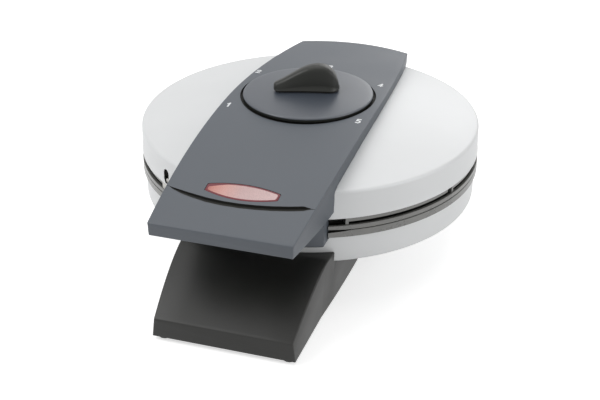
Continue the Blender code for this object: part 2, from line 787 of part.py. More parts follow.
def handle_strap(pivot, material):
    """The one-piece handle: a curved strap over the lid that runs out into the grip."""
    bm = bmesh.new()
    rings = []
    for y in stations(STRAP_FRONT, STRAP_REAR, STRAP_STATIONS):
        share = max(0, y / STRAP_REAR)
        rings.append(strap_ring(y, STRAP_REAR_BOW * share ** 2))
    close_bowed_end(bm, loft(bm, rings, flat_end=False))
    strap = finish("handle_strap", bm, pivot, material)
    front = STRAP_FRONT + STRAP_WALL
    dial_front = -DIAL_FORWARD - DIAL_RADIUS - STRAP_POCKET_RIM
    dial_rear = -DIAL_FORWARD + DIAL_RADIUS + STRAP_POCKET_RIM
    cut(strap, strap_pocket("grip_pocket", front, dial_front, pivot))
    cut(strap, strap_pocket("rear_pocket", dial_rear, STRAP_REAR - STRAP_WALL, pivot))
    cut(strap, lid_space("strap_seat", pivot))
    cut(strap, dial_tray("dial_tray", pivot))
    cut(strap, lens_shape("lens_opening", LENS_THICKNESS + OVERRUN, OVERRUN, GAP, pivot))
    cut(strap, finger_groove("finger_groove", pivot))
    cut(strap, upright_pin("strap_shaft_hole", DIAL_PLACE.xy, SHAFT_RADIUS + GAP, LID_EDGE_HEIGHT, DIAL_TOP,
                           pivot))
    return strap


def strap_pocket(name, start, end, pivot):
    """The hollow under the strap between two places along Y, one wall inside its outline."""
    rings = []
    for y in stations(start, end, STRAP_POCKET_STATIONS):
        half = strap_half(y) - STRAP_WALL
        high = strap_top(y) - STRAP_WALL
        low = LID_EDGE_HEIGHT
        rings.append([(-half, y, low), (half, y, low), (half, y, high), (-half, y, high)])
    bm = bmesh.new()
    loft(bm, rings)
    return finish(name, bm, pivot)


def dial_tray(name, pivot):
    bm = bmesh.new()
    radius = DIAL_RADIUS + DIAL_CLEARANCE
    above = STRAP_CREST + OVERRUN
    lathe(bm, [(0, DIAL_TRAY), (radius, DIAL_TRAY), (radius, above), (0, above)], ROUND_STEPS, DIAL_PLACE.xy)
    return finish(name, bm, pivot)


def lens_shape(name, depth, rise, grow, pivot, material=None):
    """The barrel-shaped lens, sunk by depth and raised by rise against the strap's upper face."""
    reach = LENS_HALF_LENGTH + grow
    rings = []
    for step in range(LENS_STEPS + 1):
        x = reach * (2 * step / LENS_STEPS - 1)
        bow = 1 - (x / reach) ** 2
        half = LENS_END_HALF_WIDTH + (LENS_HALF_WIDTH - LENS_END_HALF_WIDTH) * bow + grow
        front = -LENS_FORWARD - half
        rear = -LENS_FORWARD + half
        rings.append([(x, front, strap_top(front) - depth), (x, rear, strap_top(rear) - depth),
                      (x, rear, strap_top(rear) + rise), (x, front, strap_top(front) + rise)])
    bm = bmesh.new()
    loft(bm, rings)
    return finish(name, bm, pivot, material, smooth=False)


def finger_groove(name, pivot):
    """The crescent scoop in front of the lens: pointed at both ends and deepest along its rear wall."""
    rings = []
    for step in range(GROOVE_STEPS + 1):
        share = 2 * step / GROOVE_STEPS - 1
        bow = 1 - share ** 2
        rear = -GROOVE_END_FORWARD - GROOVE_REAR_BOW * bow
        front = rear - GROOVE_TIP_WIDTH - (GROOVE_WIDTH - GROOVE_TIP_WIDTH) * bow
        x = GROOVE_HALF_LENGTH * share
        rings.append([(x, front, strap_top(front) - GROOVE_LIP), (x, rear, strap_top(rear) - GROOVE_DEPTH),
                      (x, rear, strap_top(rear) + OVERRUN), (x, front, strap_top(front) + OVERRUN)])
    bm = bmesh.new()
    loft(bm, rings)
    return finish(name, bm, pivot)


def grip_underside(pivot, material):
    """The lower half of the grip: a floor inside the strap's walls, and the block that closes the front."""
    rings = []
    rear = -SHELL_RADIUS + STRAP_POCKET_RIM
    for y in stations(STRAP_FRONT + STRAP_WALL + GAP, rear, GRIP_STATIONS):
        half = strap_half(y) - STRAP_WALL - GAP
        low = strap_low(y)
        high = low + GRIP_FLOOR
        rings.append([(-half, y, low), (half, y, low), (half, y, high), (-half, y, high)])
    bm = bmesh.new()
    loft(bm, rings)
    floor = finish("grip_underside", bm, pivot, material)
    cut(floor, lid_space("grip_seat", pivot))
    bm = bmesh.new()
    outer = SHELL_RADIUS + BLOCK_OUTER_REACH
    outline = block_outline(SHELL_RADIUS - BLOCK_INNER_SETBACK, outer, BLOCK_HALF_WIDTH)
    prism(bm, outline, -BLOCK_DROP, GRIP_UNDERSIDE + GRIP_FLOOR / 2)
    join(floor, finish("closing_block", bm, pivot))
    return floor


def indicator_lamp(pivot, holder_material, lamp_material):
    """A small lamp in a holder that stands on the grip's floor under the lens."""
    low = strap_low(-LENS_FORWARD) + GRIP_FLOOR + GAP
    outer = LAMP_RADIUS + GAP + LAMP_HOLDER_WALL
    rim = low + LAMP_HOLDER_LENGTH
    floor = low + LAMP_HOLDER_WALL
    place = (0, -LENS_FORWARD)
    bm = bmesh.new()
    lathe(bm, [(0, low), (outer, low), (outer, rim), (LAMP_RADIUS + GAP, rim), (LAMP_RADIUS + GAP, floor),
               (0, floor)], SMALL_STEPS, place)
    finish("lamp_holder", bm, pivot, holder_material)
    bm = bmesh.new()
    foot = floor + GAP
    head = min(foot + LAMP_LENGTH, strap_top(-LENS_FORWARD) - LENS_THICKNESS - 2 * GAP)
    lathe(bm, [(0, foot), (LAMP_RADIUS, foot), (LAMP_RADIUS, head - LAMP_RADIUS / 2), (LAMP_RADIUS / 2, head),
               (0, head)], SMALL_STEPS, place)
    finish("indicator_lamp", bm, pivot, lamp_material)


def dial_disc(pivot, material):
    """A round plate, slightly crowned, that turns in the strap's tray."""
    bm = bmesh.new()
    inner = DIAL_RADIUS - DIAL_EDGE
    profile = [(SHAFT_RADIUS + GAP, DIAL_BOTTOM), (DIAL_RADIUS, DIAL_BOTTOM),
               (DIAL_RADIUS, DIAL_TOP - DIAL_EDGE)]
    for share in SHELL_SHARES[::-1]:
        profile.append((inner * share, DIAL_TOP + DIAL_CROWN * (1 - share ** 2)))
    profile.append((SHAFT_RADIUS + GAP, DIAL_TOP + DIAL_CROWN))
    lathe(bm, profile, ROUND_STEPS, DIAL_PLACE.xy)
    finish("dial_disc", bm, pivot, material)


def knob_ring(height, start, tail, tail_radius, tip_radius, inset=0.0):
    """One level outline of the knob: a round tail and a round tip joined by straight sides."""
    tail_middle = KNOB_TAIL_REACH * tail - KNOB_TAIL_RADIUS * tail_radius
    length = KNOB_TIP_REACH + KNOB_TAIL_REACH
    tip_middle = -KNOB_TIP_REACH + length * start + KNOB_TIP_RADIUS * tip_radius
    outline = arc((-tail_middle, 0), KNOB_TAIL_RADIUS * tail_radius - inset, 90, 270, KNOB_ARC_STEPS)
    outline += arc((-tip_middle, 0), KNOB_TIP_RADIUS * tip_radius - inset, -90, 90, KNOB_ARC_STEPS)
    turn = math.radians(KNOB_TURN)
    return [(u * math.cos(turn) - v * math.sin(turn), -DIAL_FORWARD + u * math.sin(turn) + v * math.cos(turn),
             height) for u, v in outline]


def dial_knob(pivot, material):
    """A teardrop grip on the dial: its narrow tip points at the setting and its back rises to a ridge."""
    foot = DIAL_TOP + DIAL_CROWN + GAP
    bm = bmesh.new()
    rings = [knob_ring(foot, *KNOB_SHARES[0][1:], KNOB_NECK_INSET),
             knob_ring(foot + KNOB_NECK, *KNOB_SHARES[0][1:], KNOB_NECK_INSET)]
    for height, start, tail, tail_radius, tip_radius in KNOB_SHARES:
        rings.append(knob_ring(foot + KNOB_NECK + KNOB_HEIGHT * height, start, tail, tail_radius, tip_radius))
    loft(bm, rings)
    knob = finish("dial_knob", bm, pivot, material)
    crown = foot + KNOB_HEIGHT / 2
    cut(knob, upright_pin("knob_bore", DIAL_PLACE.xy, SHAFT_RADIUS + GAP, DIAL_BOTTOM, crown, pivot))


def dial_shaft(pivot, material):
    low = LID_CREST - SHEET - SHAFT_SINK
    crown = DIAL_TOP + DIAL_CROWN + KNOB_HEIGHT / 2 - GAP
    upright_pin("dial_shaft", DIAL_PLACE.xy, SHAFT_RADIUS, low, crown, pivot, material)


def thermostat(pivot, material):
    """The control box on the upper plate; the dial's shaft ends in its socket."""
    low = PLATE_THICKNESS + GAP
    high = low + THERMOSTAT_HEIGHT
    socket = LID_CREST - SHEET - SHAFT_SINK - GAP
    rings = []
    for z, inset in ((low, 0), (high - THERMOSTAT_EDGE, 0), (high, THERMOSTAT_EDGE)):
        outline = rectangle(THERMOSTAT_LENGTH / 2 - inset, THERMOSTAT_WIDTH / 2 - inset, DIAL_PLACE.xy)
        rings.append([(x, y, z) for x, y in outline])
    bm = bmesh.new()
    loft(bm, rings)
    box = finish("thermostat_body", bm, pivot, material, smooth=False)
    join(box, upright_pin("thermostat_collar", DIAL_PLACE.xy, 2 * SHAFT_RADIUS, high - SHEET,
                          socket + SHAFT_RADIUS, pivot))
    cut(box, upright_pin("thermostat_socket", DIAL_PLACE.xy, SHAFT_RADIUS + GAP, socket, LID_CREST, pivot))


def strap_screws(strap, shell, plate, pivot, material):
    """Two screws under the dial hold strap and shell to bosses on the upper plate."""
    for side, name in ((-1, "strap_screw_left"), (1, "strap_screw_right")):
        place = (side * MIDDLE_BOSS_SPACING / 2, -DIAL_FORWARD)
        reach = math.hypot(*place)
        end = lid_height(reach + MIDDLE_BOSS_RADIUS) - SHEET - GAP
        boss = upright_pin(name + "_boss", place, MIDDLE_BOSS_RADIUS, PLATE_THICKNESS - SHEET, end, pivot)
        join(plate, boss)
        seat = DIAL_TRAY - SCREW_HEAD_HEIGHT / 2
        tip = seat - 2 * SCREW_GRIP_LENGTH
        hole = upright_pin(name + "_hole", place, SCREW_RADIUS + GAP, tip - GAP, DIAL_TOP, pivot)
        recess = upright_pin(name + "_recess", place, SCREW_HEAD_RADIUS + GAP, seat - GAP, DIAL_TOP, pivot)
        for piece in (strap, shell, plate):
            cut(piece, hole)
        cut(strap, recess)
        screw(name, place, tip, seat, 1, pivot, material)


def stand_half(y):
    """Half the stand's width at its upper edges, which is greatest under the front of the shell."""
    widest = -STAND_WIDEST_SETBACK
    if y < widest:
        return STAND_HALF_WIDTH - STAND_FRONT_TAPER * ((widest - y) / (widest - STAND_FRONT)) ** 2
    return STAND_HALF_WIDTH - STAND_REAR_TAPER * ((y - widest) / (STAND_REAR - widest)) ** 2


def stand_foot_half(y):
    """Half the stand's width at its bottom: its sides lean inwards, but not past the front leg's own width."""
    leaning = stand_half(y) - STAND_SIDE_LEAN
    if y < -STAND_WIDEST_SETBACK:
        return max(leaning, STAND_FOOT_HALF_WIDTH)
    return leaning


def stand_neck():
    """Where the sloping front of the stand reaches the shell's wall."""
    return -SHELL_RADIUS + STAND_NECK_REACH


def stand_top(y):
    """Height of the front leg's slope, up to the shell's wall."""
    if y < stand_neck():
        share = (y - STAND_FRONT) / (stand_neck() - STAND_FRONT)
        return STAND_NECK_TOP - (STAND_NECK_TOP - STAND_TOE_TOP) * (1 - share) ** STAND_SLOPE_POWER
    return STAND_NECK_TOP


def stand_ring(y, top, inset=0.0, low=STAND_LOW):
    """One cross-section of the stand, or of its hollow, with its two upper edges bevelled."""
    half = stand_half(y) - inset
    foot = stand_foot_half(y) - inset
    side = top - STAND_EDGE
    return [(-foot, y, low), (foot, y, low), (half, y, side), (half - STAND_EDGE, y, top),
            (-half + STAND_EDGE, y, top), (-half, y, side)]


def base_stand(pivot, material):
    """The long foot: a sloping front leg that runs back as a hollow body under the base shell."""
    shoulder = -math.sqrt(SHELL_RADIUS ** 2 - STAND_HALF_WIDTH ** 2) + STAND_WALL
    rings = [stand_ring(y, stand_top(y)) for y in stations(STAND_FRONT, stand_neck(), STAND_STATIONS)]
    rings.append(stand_ring(shoulder, STAND_NECK_TOP))
    for y in stations(shoulder + STAND_WALL, STAND_REAR, STAND_REAR_STATIONS):
        rings.append(stand_ring(y, STAND_DECK))
    bm = bmesh.new()
    loft(bm, rings)
    stand = finish("base_stand", bm, pivot, material)
    cut(stand, base_space("stand_seat", pivot))
    cut(stand, stand_pocket("stand_pocket", pivot))
    return stand


def pocket_roof(y):
    """Height of the stand's ceiling, one wall below its slope, its deck and the shell that it carries."""
    shell = base_height(min(abs(y), BASE_DOME_EDGE)) - GAP
    return min(stand_top(y - STAND_WALL), STAND_DECK, shell) - STAND_WALL


def stand_pocket(name, pivot):
    """The hollow of the stand, one wall inside its outline and open at the bottom."""
    rings = []
    front = STAND_FRONT + STAND_WALL
    rear = STAND_REAR - STAND_WALL
    for y in stations(front, rear, STAND_STATIONS + STAND_REAR_STATIONS):
        rings.append(stand_ring(y, pocket_roof(y), STAND_WALL, STAND_LOW - OVERRUN))
    bm = bmesh.new()
    loft(bm, rings)
    return finish(name, bm, pivot)


def bottom_cover(stand, pivot, material, screw_material):
    """The plate that closes the stand from below, with its four screws."""
    rings = []
    inset = STAND_WALL + GAP
    for y in stations(STAND_FRONT + inset, STAND_REAR - inset, STAND_STATIONS + STAND_REAR_STATIONS):
        half = min(stand_half(y), stand_foot_half(y)) - inset
        rings.append([(-half, y, STAND_LOW), (half, y, STAND_LOW),
                      (half, y, COVER_TOP), (-half, y, COVER_TOP)])
    bm = bmesh.new()
    loft(bm, rings)
    cover = finish("bottom_cover", bm, pivot, material, smooth=False)
    seat = STAND_LOW + SCREW_HEAD_HEIGHT / 2
    tip = seat + SCREW_GRIP_LENGTH
    ends = (("front", STAND_FRONT + COVER_SCREW_FRONT_INSET), ("rear", STAND_REAR - COVER_SCREW_REAR_INSET))
    for end, y in ends:
        for hand, side in (("left", -1), ("right", 1)):
            name = "cover_screw_" + end + "_" + hand
            place = (side * (stand_foot_half(y) - COVER_SCREW_SIDE_INSET), y)
            roof = pocket_roof(y) + STAND_WALL / 2
            join(stand, upright_pin(name + "_boss", place, COVER_BOSS_RADIUS, COVER_TOP + GAP, roof, pivot))
            below = STAND_LOW - OVERRUN
            hole = upright_pin(name + "_hole", place, SCREW_RADIUS + GAP, below, tip + GAP, pivot)
            recess = upright_pin(name + "_recess", place, SCREW_HEAD_RADIUS + GAP, below, seat + GAP, pivot)
            cut(stand, hole)
            cut(cover, hole)
            cut(cover, recess)
            screw(name, place, tip, seat, -1, pivot, screw_material)
    return cover


def rubber_feet(stand, cover, pivot, material):
    """Four rubber pads let into the cover and the stand's rim; they carry the machine."""
    seat = STAND_LOW + FOOT_SINK
    for end, y in (("front", STAND_FRONT + FOOT_INSET), ("rear", STAND_REAR - FOOT_INSET)):
        for hand, side in (("left", -1), ("right", 1)):
            place = (side * (stand_foot_half(y) - FOOT_INSET + STAND_WALL / 2), y)
            recess = upright_pin("foot_" + end + "_" + hand + "_seat", place, FOOT_RADIUS + GAP,
                                 STAND_LOW - OVERRUN, seat + GAP, pivot)
            cut(cover, recess)
            cut(stand, recess)
            bm = bmesh.new()
            lathe(bm, [(0, GROUND), (FOOT_RADIUS - FOOT_EDGE, GROUND), (FOOT_RADIUS, GROUND + FOOT_EDGE),
                       (FOOT_RADIUS, seat), (0, seat)], SMALL_STEPS, place)
            finish("foot_" + end + "_" + hand, bm, pivot, material)


def hinge_circle(radius, start, end, steps):
    return arc((HINGE_PLACE.y, HINGE_PLACE.z), radius, start, end, steps)


def across_pin(name, radius, half_length, pivot, material=None):
    """A pin along the hinge axis."""
    bm = bmesh.new()
    slab(bm, hinge_circle(radius, 0, 360, HINGE_STEPS)[:-1], -half_length, half_length)
    return finish(name, bm, pivot, material)


def hinge_bracket(pivot, material):
    """The fixed half of the hinge: two ears on a foot that sits on the stand's deck."""
    inner = HINGE_BARREL_HALF_LENGTH + GAP
    outer = inner + HINGE_EAR_WIDTH
    front = HINGE_PLACE.y - HINGE_BARREL_RADIUS
    rear = HINGE_PLACE.y + HINGE_BARREL_RADIUS
    deck = STAND_DECK + GAP
    bm = bmesh.new()
    loft(bm, [[(x, y, z) for x, y in ((-outer, front), (outer, front), (outer, rear), (-outer, rear))]
              for z in (deck, deck + HINGE_FOOT_THICKNESS)])
    bracket = finish("hinge_bracket", bm, pivot, material, smooth=False)
    for side, name in ((-1, "left_ear"), (1, "right_ear")):
        bm = bmesh.new()
        outline = hinge_circle(HINGE_BARREL_RADIUS, 0, 180, HINGE_STEPS // 2)
        outline += [(front, deck + HINGE_FOOT_THICKNESS / 2), (rear, deck + HINGE_FOOT_THICKNESS / 2)]
        slab(bm, outline, side * inner, side * outer)
        join(bracket, finish(name, bm, pivot))
    cut(bracket, base_space("hinge_seat", pivot))
    cut(bracket, across_pin("hinge_bracket_bore", HINGE_PIN_RADIUS + GAP, outer + OVERRUN, pivot))
    return bracket


def hinge_pin(pivot, material):
    half = HINGE_BARREL_HALF_LENGTH + GAP + HINGE_EAR_WIDTH + HINGE_PIN_OVERHANG
    across_pin("hinge_pin", HINGE_PIN_RADIUS, half, pivot, material)


def lid_hinge(pivot, material):
    """The moving half of the hinge: a barrel on the pin with an arm up the lid's back."""
    reach = HINGE_BARREL_HALF_LENGTH
    bm = bmesh.new()
    outline = hinge_circle(HINGE_BARREL_RADIUS, HINGE_ARM_START, HINGE_ARM_END, HINGE_STEPS // 2)
    front = math.sqrt(SHELL_RADIUS ** 2 - reach ** 2) - STRAP_WALL
    rear = SHELL_RADIUS + HINGE_ARM_REACH
    outline += [(rear, HINGE_ARM_HIGH), (front, HINGE_ARM_HIGH), (front, HINGE_ARM_LOW)]
    outline += [(SHELL_RADIUS + GAP, HINGE_ARM_LOW), (HINGE_PLACE.y - HINGE_BARREL_RADIUS, HINGE_PLACE.z)]
    slab(bm, outline, -reach, reach)
    arm = finish("lid_hinge", bm, pivot, material)
    cut(arm, lid_space("lid_hinge_seat", pivot))
    cut(arm, across_pin("lid_hinge_bore", HINGE_PIN_RADIUS + GAP, reach + OVERRUN, pivot))


def gland_pin(name, radius, start, end, pivot, material=None):
    """A round bar along Y in the middle of the stand's rear wall."""
    middle = (COVER_TOP + STAND_DECK - STAND_WALL) / 2
    bm = bmesh.new()
    loft(bm, [[(x, y, z) for x, z in disc((0, middle), radius)] for y in (start, end)])
    return finish(name, bm, pivot, material)


def cord_gland(stand, pivot, material):
    """The bush in the stand's rear wall through which the mains lead would pass."""
    seat = STAND_REAR - STAND_WALL - GAP
    inside = seat - GLAND_FLANGE
    beyond = STAND_REAR + OVERRUN
    flange = GLAND_RADIUS + GLAND_FLANGE_WIDTH
    gland = gland_pin("cord_gland", GLAND_RADIUS, inside, STAND_REAR - SHEET, pivot, material)
    join(gland, gland_pin("gland_flange", flange, inside, seat, pivot))
    cut(gland, gland_pin("gland_bore", GLAND_BORE, inside - OVERRUN, beyond, pivot))
    cut(stand, gland_pin("gland_hole", GLAND_RADIUS + GAP, seat - OVERRUN, beyond, pivot))


def terminal_block(pivot, material):
    place = (0, STAND_REAR - TERMINAL_FORWARD_OF_REAR)
    low = COVER_TOP + GAP
    high = low + TERMINAL_HEIGHT
    rings = []
    for z, inset in ((low, 0), (high - TERMINAL_EDGE, 0), (high, TERMINAL_EDGE)):
        outline = rectangle(TERMINAL_LENGTH / 2 - inset, TERMINAL_WIDTH / 2 - inset, place)
        rings.append([(x, y, z) for x, y in outline])
    bm = bmesh.new()
    loft(bm, rings)
    finish("terminal_block", bm, pivot, material, smooth=False)


def thermal_fuse(pivot, material):
    """The fuse that lies against the lower plate's underside."""
    height = -PLATE_THICKNESS - GAP - FUSE_RADIUS
    bm = bmesh.new()
    slab(bm, disc((-FUSE_FORWARD, height), FUSE_RADIUS), -FUSE_LENGTH / 2, FUSE_LENGTH / 2)
    finish("thermal_fuse", bm, pivot, material)


def build():
    clear_scene()
    steel = make_material("silver_paint", (0.76, 0.77, 0.78), 0.42, 0.55)
    cast = make_material("cast_plate", (0.20, 0.20, 0.21), 0.50, 0.60)
    plastic = make_material("dark_plastic", (0.13, 0.14, 0.15), 0.48)
    knob_plastic = make_material("knob_plastic", (0.045, 0.047, 0.042), 0.40)
    rubber = make_material("rubber", (0.025, 0.025, 0.025), 0.85)
    bright = make_material("bright_steel", (0.62, 0.62, 0.63), 0.28, 1.0)
    tube = make_material("heater_sheath", (0.16, 0.15, 0.14), 0.55, 0.8)
    pan = make_material("reflector_sheet", (0.72, 0.72, 0.70), 0.35, 0.9)
    ceramic = make_material("ceramic", (0.80, 0.78, 0.72), 0.60)
    red = make_material("lens_red", (0.78, 0.22, 0.22), 0.25)
    glass = make_material("lamp_glass", (0.85, 0.55, 0.45), 0.15)

    machine = make_pivot("machine", MACHINE_PLACE)
    lid = make_pivot("lid_axis", HINGE_PLACE, machine)
    dial = make_pivot("dial_axis", DIAL_PLACE, lid)

    lower_shell = base_shell(machine, steel)
    lower_plate = baking_plate("lower_plate", -1, LOWER_RIM_THICKNESS, base_height, machine, cast)
    heating_element("lower_heating_element", -1, machine, tube)
    reflector("lower_reflector", -1, machine, pan)
    thermal_fuse(machine, ceramic)
    base_screws(lower_shell, lower_plate, machine, bright)
    stand = base_stand(machine, plastic)
    cover = bottom_cover(stand, machine, plastic, bright)
    rubber_feet(stand, cover, machine, rubber)
    cord_gland(stand, machine, rubber)
    terminal_block(machine, ceramic)
    hinge_bracket(machine, plastic)
    hinge_pin(machine, bright)

    upper_plate = baking_plate("upper_plate", 1, RIM_THICKNESS, lid_height, lid, cast)
    rim_posts(upper_plate, lid)
    heating_element("upper_heating_element", 1, lid, tube)
    reflector("upper_reflector", 1, lid, pan)
    upper_shell = lid_shell(lid, steel)
    strap = handle_strap(lid, plastic)
    strap_screws(strap, upper_shell, upper_plate, lid, bright)
    grip_underside(lid, plastic)
    lens_shape("indicator_lens", LENS_THICKNESS, 0.0, 0.0, lid, red)
    indicator_lamp(lid, ceramic, glass)
    thermostat(lid, ceramic)
    lid_hinge(lid, plastic)

    dial_disc(dial, plastic)
    dial_knob(dial, knob_plastic)
    dial_shaft(dial, bright)


build()
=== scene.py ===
"""Looks of the heart waffle maker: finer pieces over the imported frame, materials, light and camera.

Sizes are in millimetres in the machine's own frame: the origin is on the axis of the round shells, height
zero is the parting plane between the two baking plates, and the front is towards -Y. Angles are in degrees.
Only the stage, the lamps and the camera are in metres in Blender's own frame.
"""
import math

import bmesh
import bpy
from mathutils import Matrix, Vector

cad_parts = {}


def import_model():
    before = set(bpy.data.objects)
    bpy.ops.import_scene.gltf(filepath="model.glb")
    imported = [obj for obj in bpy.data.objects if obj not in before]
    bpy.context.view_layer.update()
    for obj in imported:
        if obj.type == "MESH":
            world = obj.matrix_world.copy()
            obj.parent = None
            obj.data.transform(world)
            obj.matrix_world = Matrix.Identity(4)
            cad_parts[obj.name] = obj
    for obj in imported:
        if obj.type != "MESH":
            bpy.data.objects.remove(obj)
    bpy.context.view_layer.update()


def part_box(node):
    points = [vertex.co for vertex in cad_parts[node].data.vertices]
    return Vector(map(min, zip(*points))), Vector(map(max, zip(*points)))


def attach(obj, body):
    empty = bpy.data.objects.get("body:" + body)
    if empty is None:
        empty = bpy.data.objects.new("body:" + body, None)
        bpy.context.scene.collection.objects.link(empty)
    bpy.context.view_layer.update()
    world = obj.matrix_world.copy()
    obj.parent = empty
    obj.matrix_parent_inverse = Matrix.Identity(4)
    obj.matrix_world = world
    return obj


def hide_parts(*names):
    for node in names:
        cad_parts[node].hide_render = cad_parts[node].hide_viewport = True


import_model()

MM = 0.001
GROUND = -54.5
MACHINE = Vector((0.0, 0.01985, -GROUND * MM))
STEPS = 192
CIRCLE_STEPS = 32
SQUARE = ((-1, -1), (1, -1), (1, 1), (-1, 1))

# Room round a shell in what is cut to take it, and play between a wall and what sits in it
FIT = 0.25
PLAY = 0.3
END_RADIUS = 0.8

# Lid and base shells
SHELL_RADIUS = 110.0
SHEET = 0.9
LID_HOLE = 8.0
LID_CREST = 38.0
LID_DOME_RISE = 11.5
LID_DOME_EDGE = 105.2
LID_SHOULDER = (107.3, 23.6)
LID_SHOULDER_RADIUS = 2.3
LID_EDGE = 7.5
BASE_HOLE = 12.0
BASE_EDGE = -4.8
BASE_CREST = -33.4
BASE_DOME_RISE = 11.0
BASE_DOME_EDGE = 106.0
BASE_SHOULDER = -20.2
BASE_SHOULDER_RADIUS = 2.2

# The notch that the grip's block closes at the front
NOTCH_INNER = 106.3
NOTCH_OUTER = 119.5
NOTCH_HALF = 43.7
NOTCH_LOW = -8.7
NOTCH_HIGH = 15.1
NOTCH_CORNER = 2.9

# Strap
STRAP_FRONT = -163.3
STRAP_REAR = 104.0
STRAP_CREST = 42.1
STRAP_CREST_Y = -10.0
STRAP_FRONT_DROP, STRAP_FRONT_POWER = 18.5, 1.94
STRAP_REAR_DROP, STRAP_REAR_POWER = 7.2, 1.66
STRAP_WIDEST_Y = -22.5
STRAP_HALF = 48.7
STRAP_FRONT_TAPER = 5.6
STRAP_REAR_TAPER = 9.5
STRAP_WALL = 2.8
STRAP_EDGE = 0.6
STRAP_DRAFT = 0.5
STRAP_REAR_BOW = 8.0
STRAP_MEET_Y = -95.8
STRAP_LOW = 27.0
STRAP_ACROSS = 24
GRIP_LOW = 12.3
GRIP_TIP_LIFT = 3.2
GRIP_FLOOR = 2.5
GRIP_FLOOR_END = -102.0
BLOCK_FRONT = -115.5
BLOCK_BACK = -107.0
BLOCK_HALF = 43.0
BLOCK_HEIGHTS = (-8.0, -7.0, 13.5)

# Dial
DIAL_Y = -4.7
DIAL_RADIUS = 42.0
DIAL_HOLE = 43.8
DIAL_TRAY = 40.0
DIAL_BOTTOM = 41.1
DIAL_TOP = 44.0
DIAL_CROWN = 1.6
DIAL_EDGE = 1.1
DIAL_ROOM = 50.0
SHAFT_HOLE = 3.3

# Stand
STAND_FRONT = -163.7
STAND_REAR = 124.0
STAND_LOW = -52.0
STAND_NECK_Y = -107.0
STAND_NECK = -15.0
STAND_TOE = -40.0
STAND_DECK = -24.3
STAND_WALL = 2.8
STAND_EDGE = 1.0
STAND_HALF = 48.0
STAND_WIDEST_Y = -45.0
STAND_FRONT_TAPER = 5.4
STAND_REAR_TAPER = 10.0
STAND_LEAN = 2.2
STAND_LEG_HALF = 44.0


def world(x, y, z):
    return Vector((x * MM, y * MM, z * MM)) + MACHINE


# Mesh building

def link(name, data):
    thing = bpy.data.objects.new(name, data)
    bpy.context.scene.collection.objects.link(thing)
    return thing


def piece_from(name, bm, key=None, angle=35):
    """An object from a bmesh, with a material from MATERIALS; edges sharper than the angle stay sharp."""
    bmesh.ops.recalc_face_normals(bm, faces=bm.faces)
    mesh = bpy.data.meshes.new(name)
    bm.to_mesh(mesh)
    bm.free()
    if key:
        mesh.materials.append(MATERIALS[key])
    piece = link(name, mesh)
    smooth(piece, angle)
    return piece


def smooth(piece, angle):
    piece.data.shade_smooth()
    piece.data.set_sharp_from_angle(angle=math.radians(angle))


def bake(piece):
    """Make what a piece's modifiers show its own mesh."""
    depsgraph = bpy.context.evaluated_depsgraph_get()
    mesh = bpy.data.meshes.new_from_object(piece.evaluated_get(depsgraph))
    piece.modifiers.clear()
    piece.data = mesh


def carve(piece, cutter, operation="DIFFERENCE", angle=35):
    """Cut a helper shape out of a piece, or add it, and drop the helper; cut faces keep its material."""
    change = piece.modifiers.new("carve", "BOOLEAN")
    change.operation = operation
    change.solver = "EXACT"
    change.material_mode = "TRANSFER"
    change.object = cutter
    bake(piece)
    bpy.data.objects.remove(cutter, do_unlink=True)
    smooth(piece, angle)


def settle(piece, body, slot, *replaces):
    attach(piece, body)
    if replaces:
        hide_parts(*replaces)


def lathe(bm, profile, centre, steps, turn):
    """Turn a closed outline of (radius, height) points about an upright axis; turn is a share of a step."""
    rings = []
    for radius, height in profile:
        if radius <= 0:
            rings.append([bm.verts.new(world(*centre, height))] * steps)
            continue
        ring = []
        for step in range(steps):
            angle = 2 * math.pi * (step + turn) / steps
            ring.append(bm.verts.new(world(centre[0] + radius * math.cos(angle),
                                           centre[1] + radius * math.sin(angle), height)))
        rings.append(ring)
    for here, there in zip(rings, rings[1:] + rings[:1]):
        for step in range(steps):
            after = (step + 1) % steps
            corners = []
            for corner in (here[step], here[after], there[after], there[step]):
                if corner not in corners:
                    corners.append(corner)
            if len(corners) > 2:
                bm.faces.new(corners)


def loft(bm, rings, close_last=True):
    """A closed skin over rings of (x, y, z) points."""
    rows = [[bm.verts.new(world(*point)) for point in ring] for ring in rings]
    for here, there in zip(rows, rows[1:]):
        for step in range(len(here)):
            after = (step + 1) % len(here)
            bm.faces.new((here[step], here[after], there[after], there[step]))
    bm.faces.new(rows[0])
    if close_last:
        bm.faces.new(rows[-1])
    return rows


def turned(name, profile, key=None, angle=35, centre=(0.0, 0.0), steps=STEPS, turn=0.5):
    bm = bmesh.new()
    lathe(bm, profile, centre, steps, turn)
    return piece_from(name, bm, key, angle)


def lofted(name, rings, key=None, angle=35):
    bm = bmesh.new()
    loft(bm, rings)
    return piece_from(name, bm, key, angle)


def upright(name, outline, low, high, key=None):
    return lofted(name, [[(x, y, z) for x, y in outline] for z in (low, high)], key)


def arc(centre, radius, start, end, steps):
    points = []
    for step in range(steps + 1):
        angle = math.radians(start + (end - start) * step / steps)
        points.append((centre[0] + radius * math.cos(angle), centre[1] + radius * math.sin(angle)))
    return points


def circle(centre, radius):
    return arc(centre, radius, 0, 360 * (CIRCLE_STEPS - 1) / CIRCLE_STEPS, CIRCLE_STEPS - 1)


def spread(start, end, count):
    return [start + (end - start) * step / count for step in range(count + 1)]


def rotated(u, v, angle):
    turn = math.radians(angle)
    return u * math.cos(turn) - v * math.sin(turn), u * math.sin(turn) + v * math.cos(turn)


def end_steps():
    """At a rounded end: how far each ring stands in from the end, and how far it is drawn in."""
    turns = [math.radians(angle) for angle in (0, 30, 60)]
    return [(END_RADIUS * (1 - math.cos(turn)), END_RADIUS * (1 - math.sin(turn))) for turn in turns]


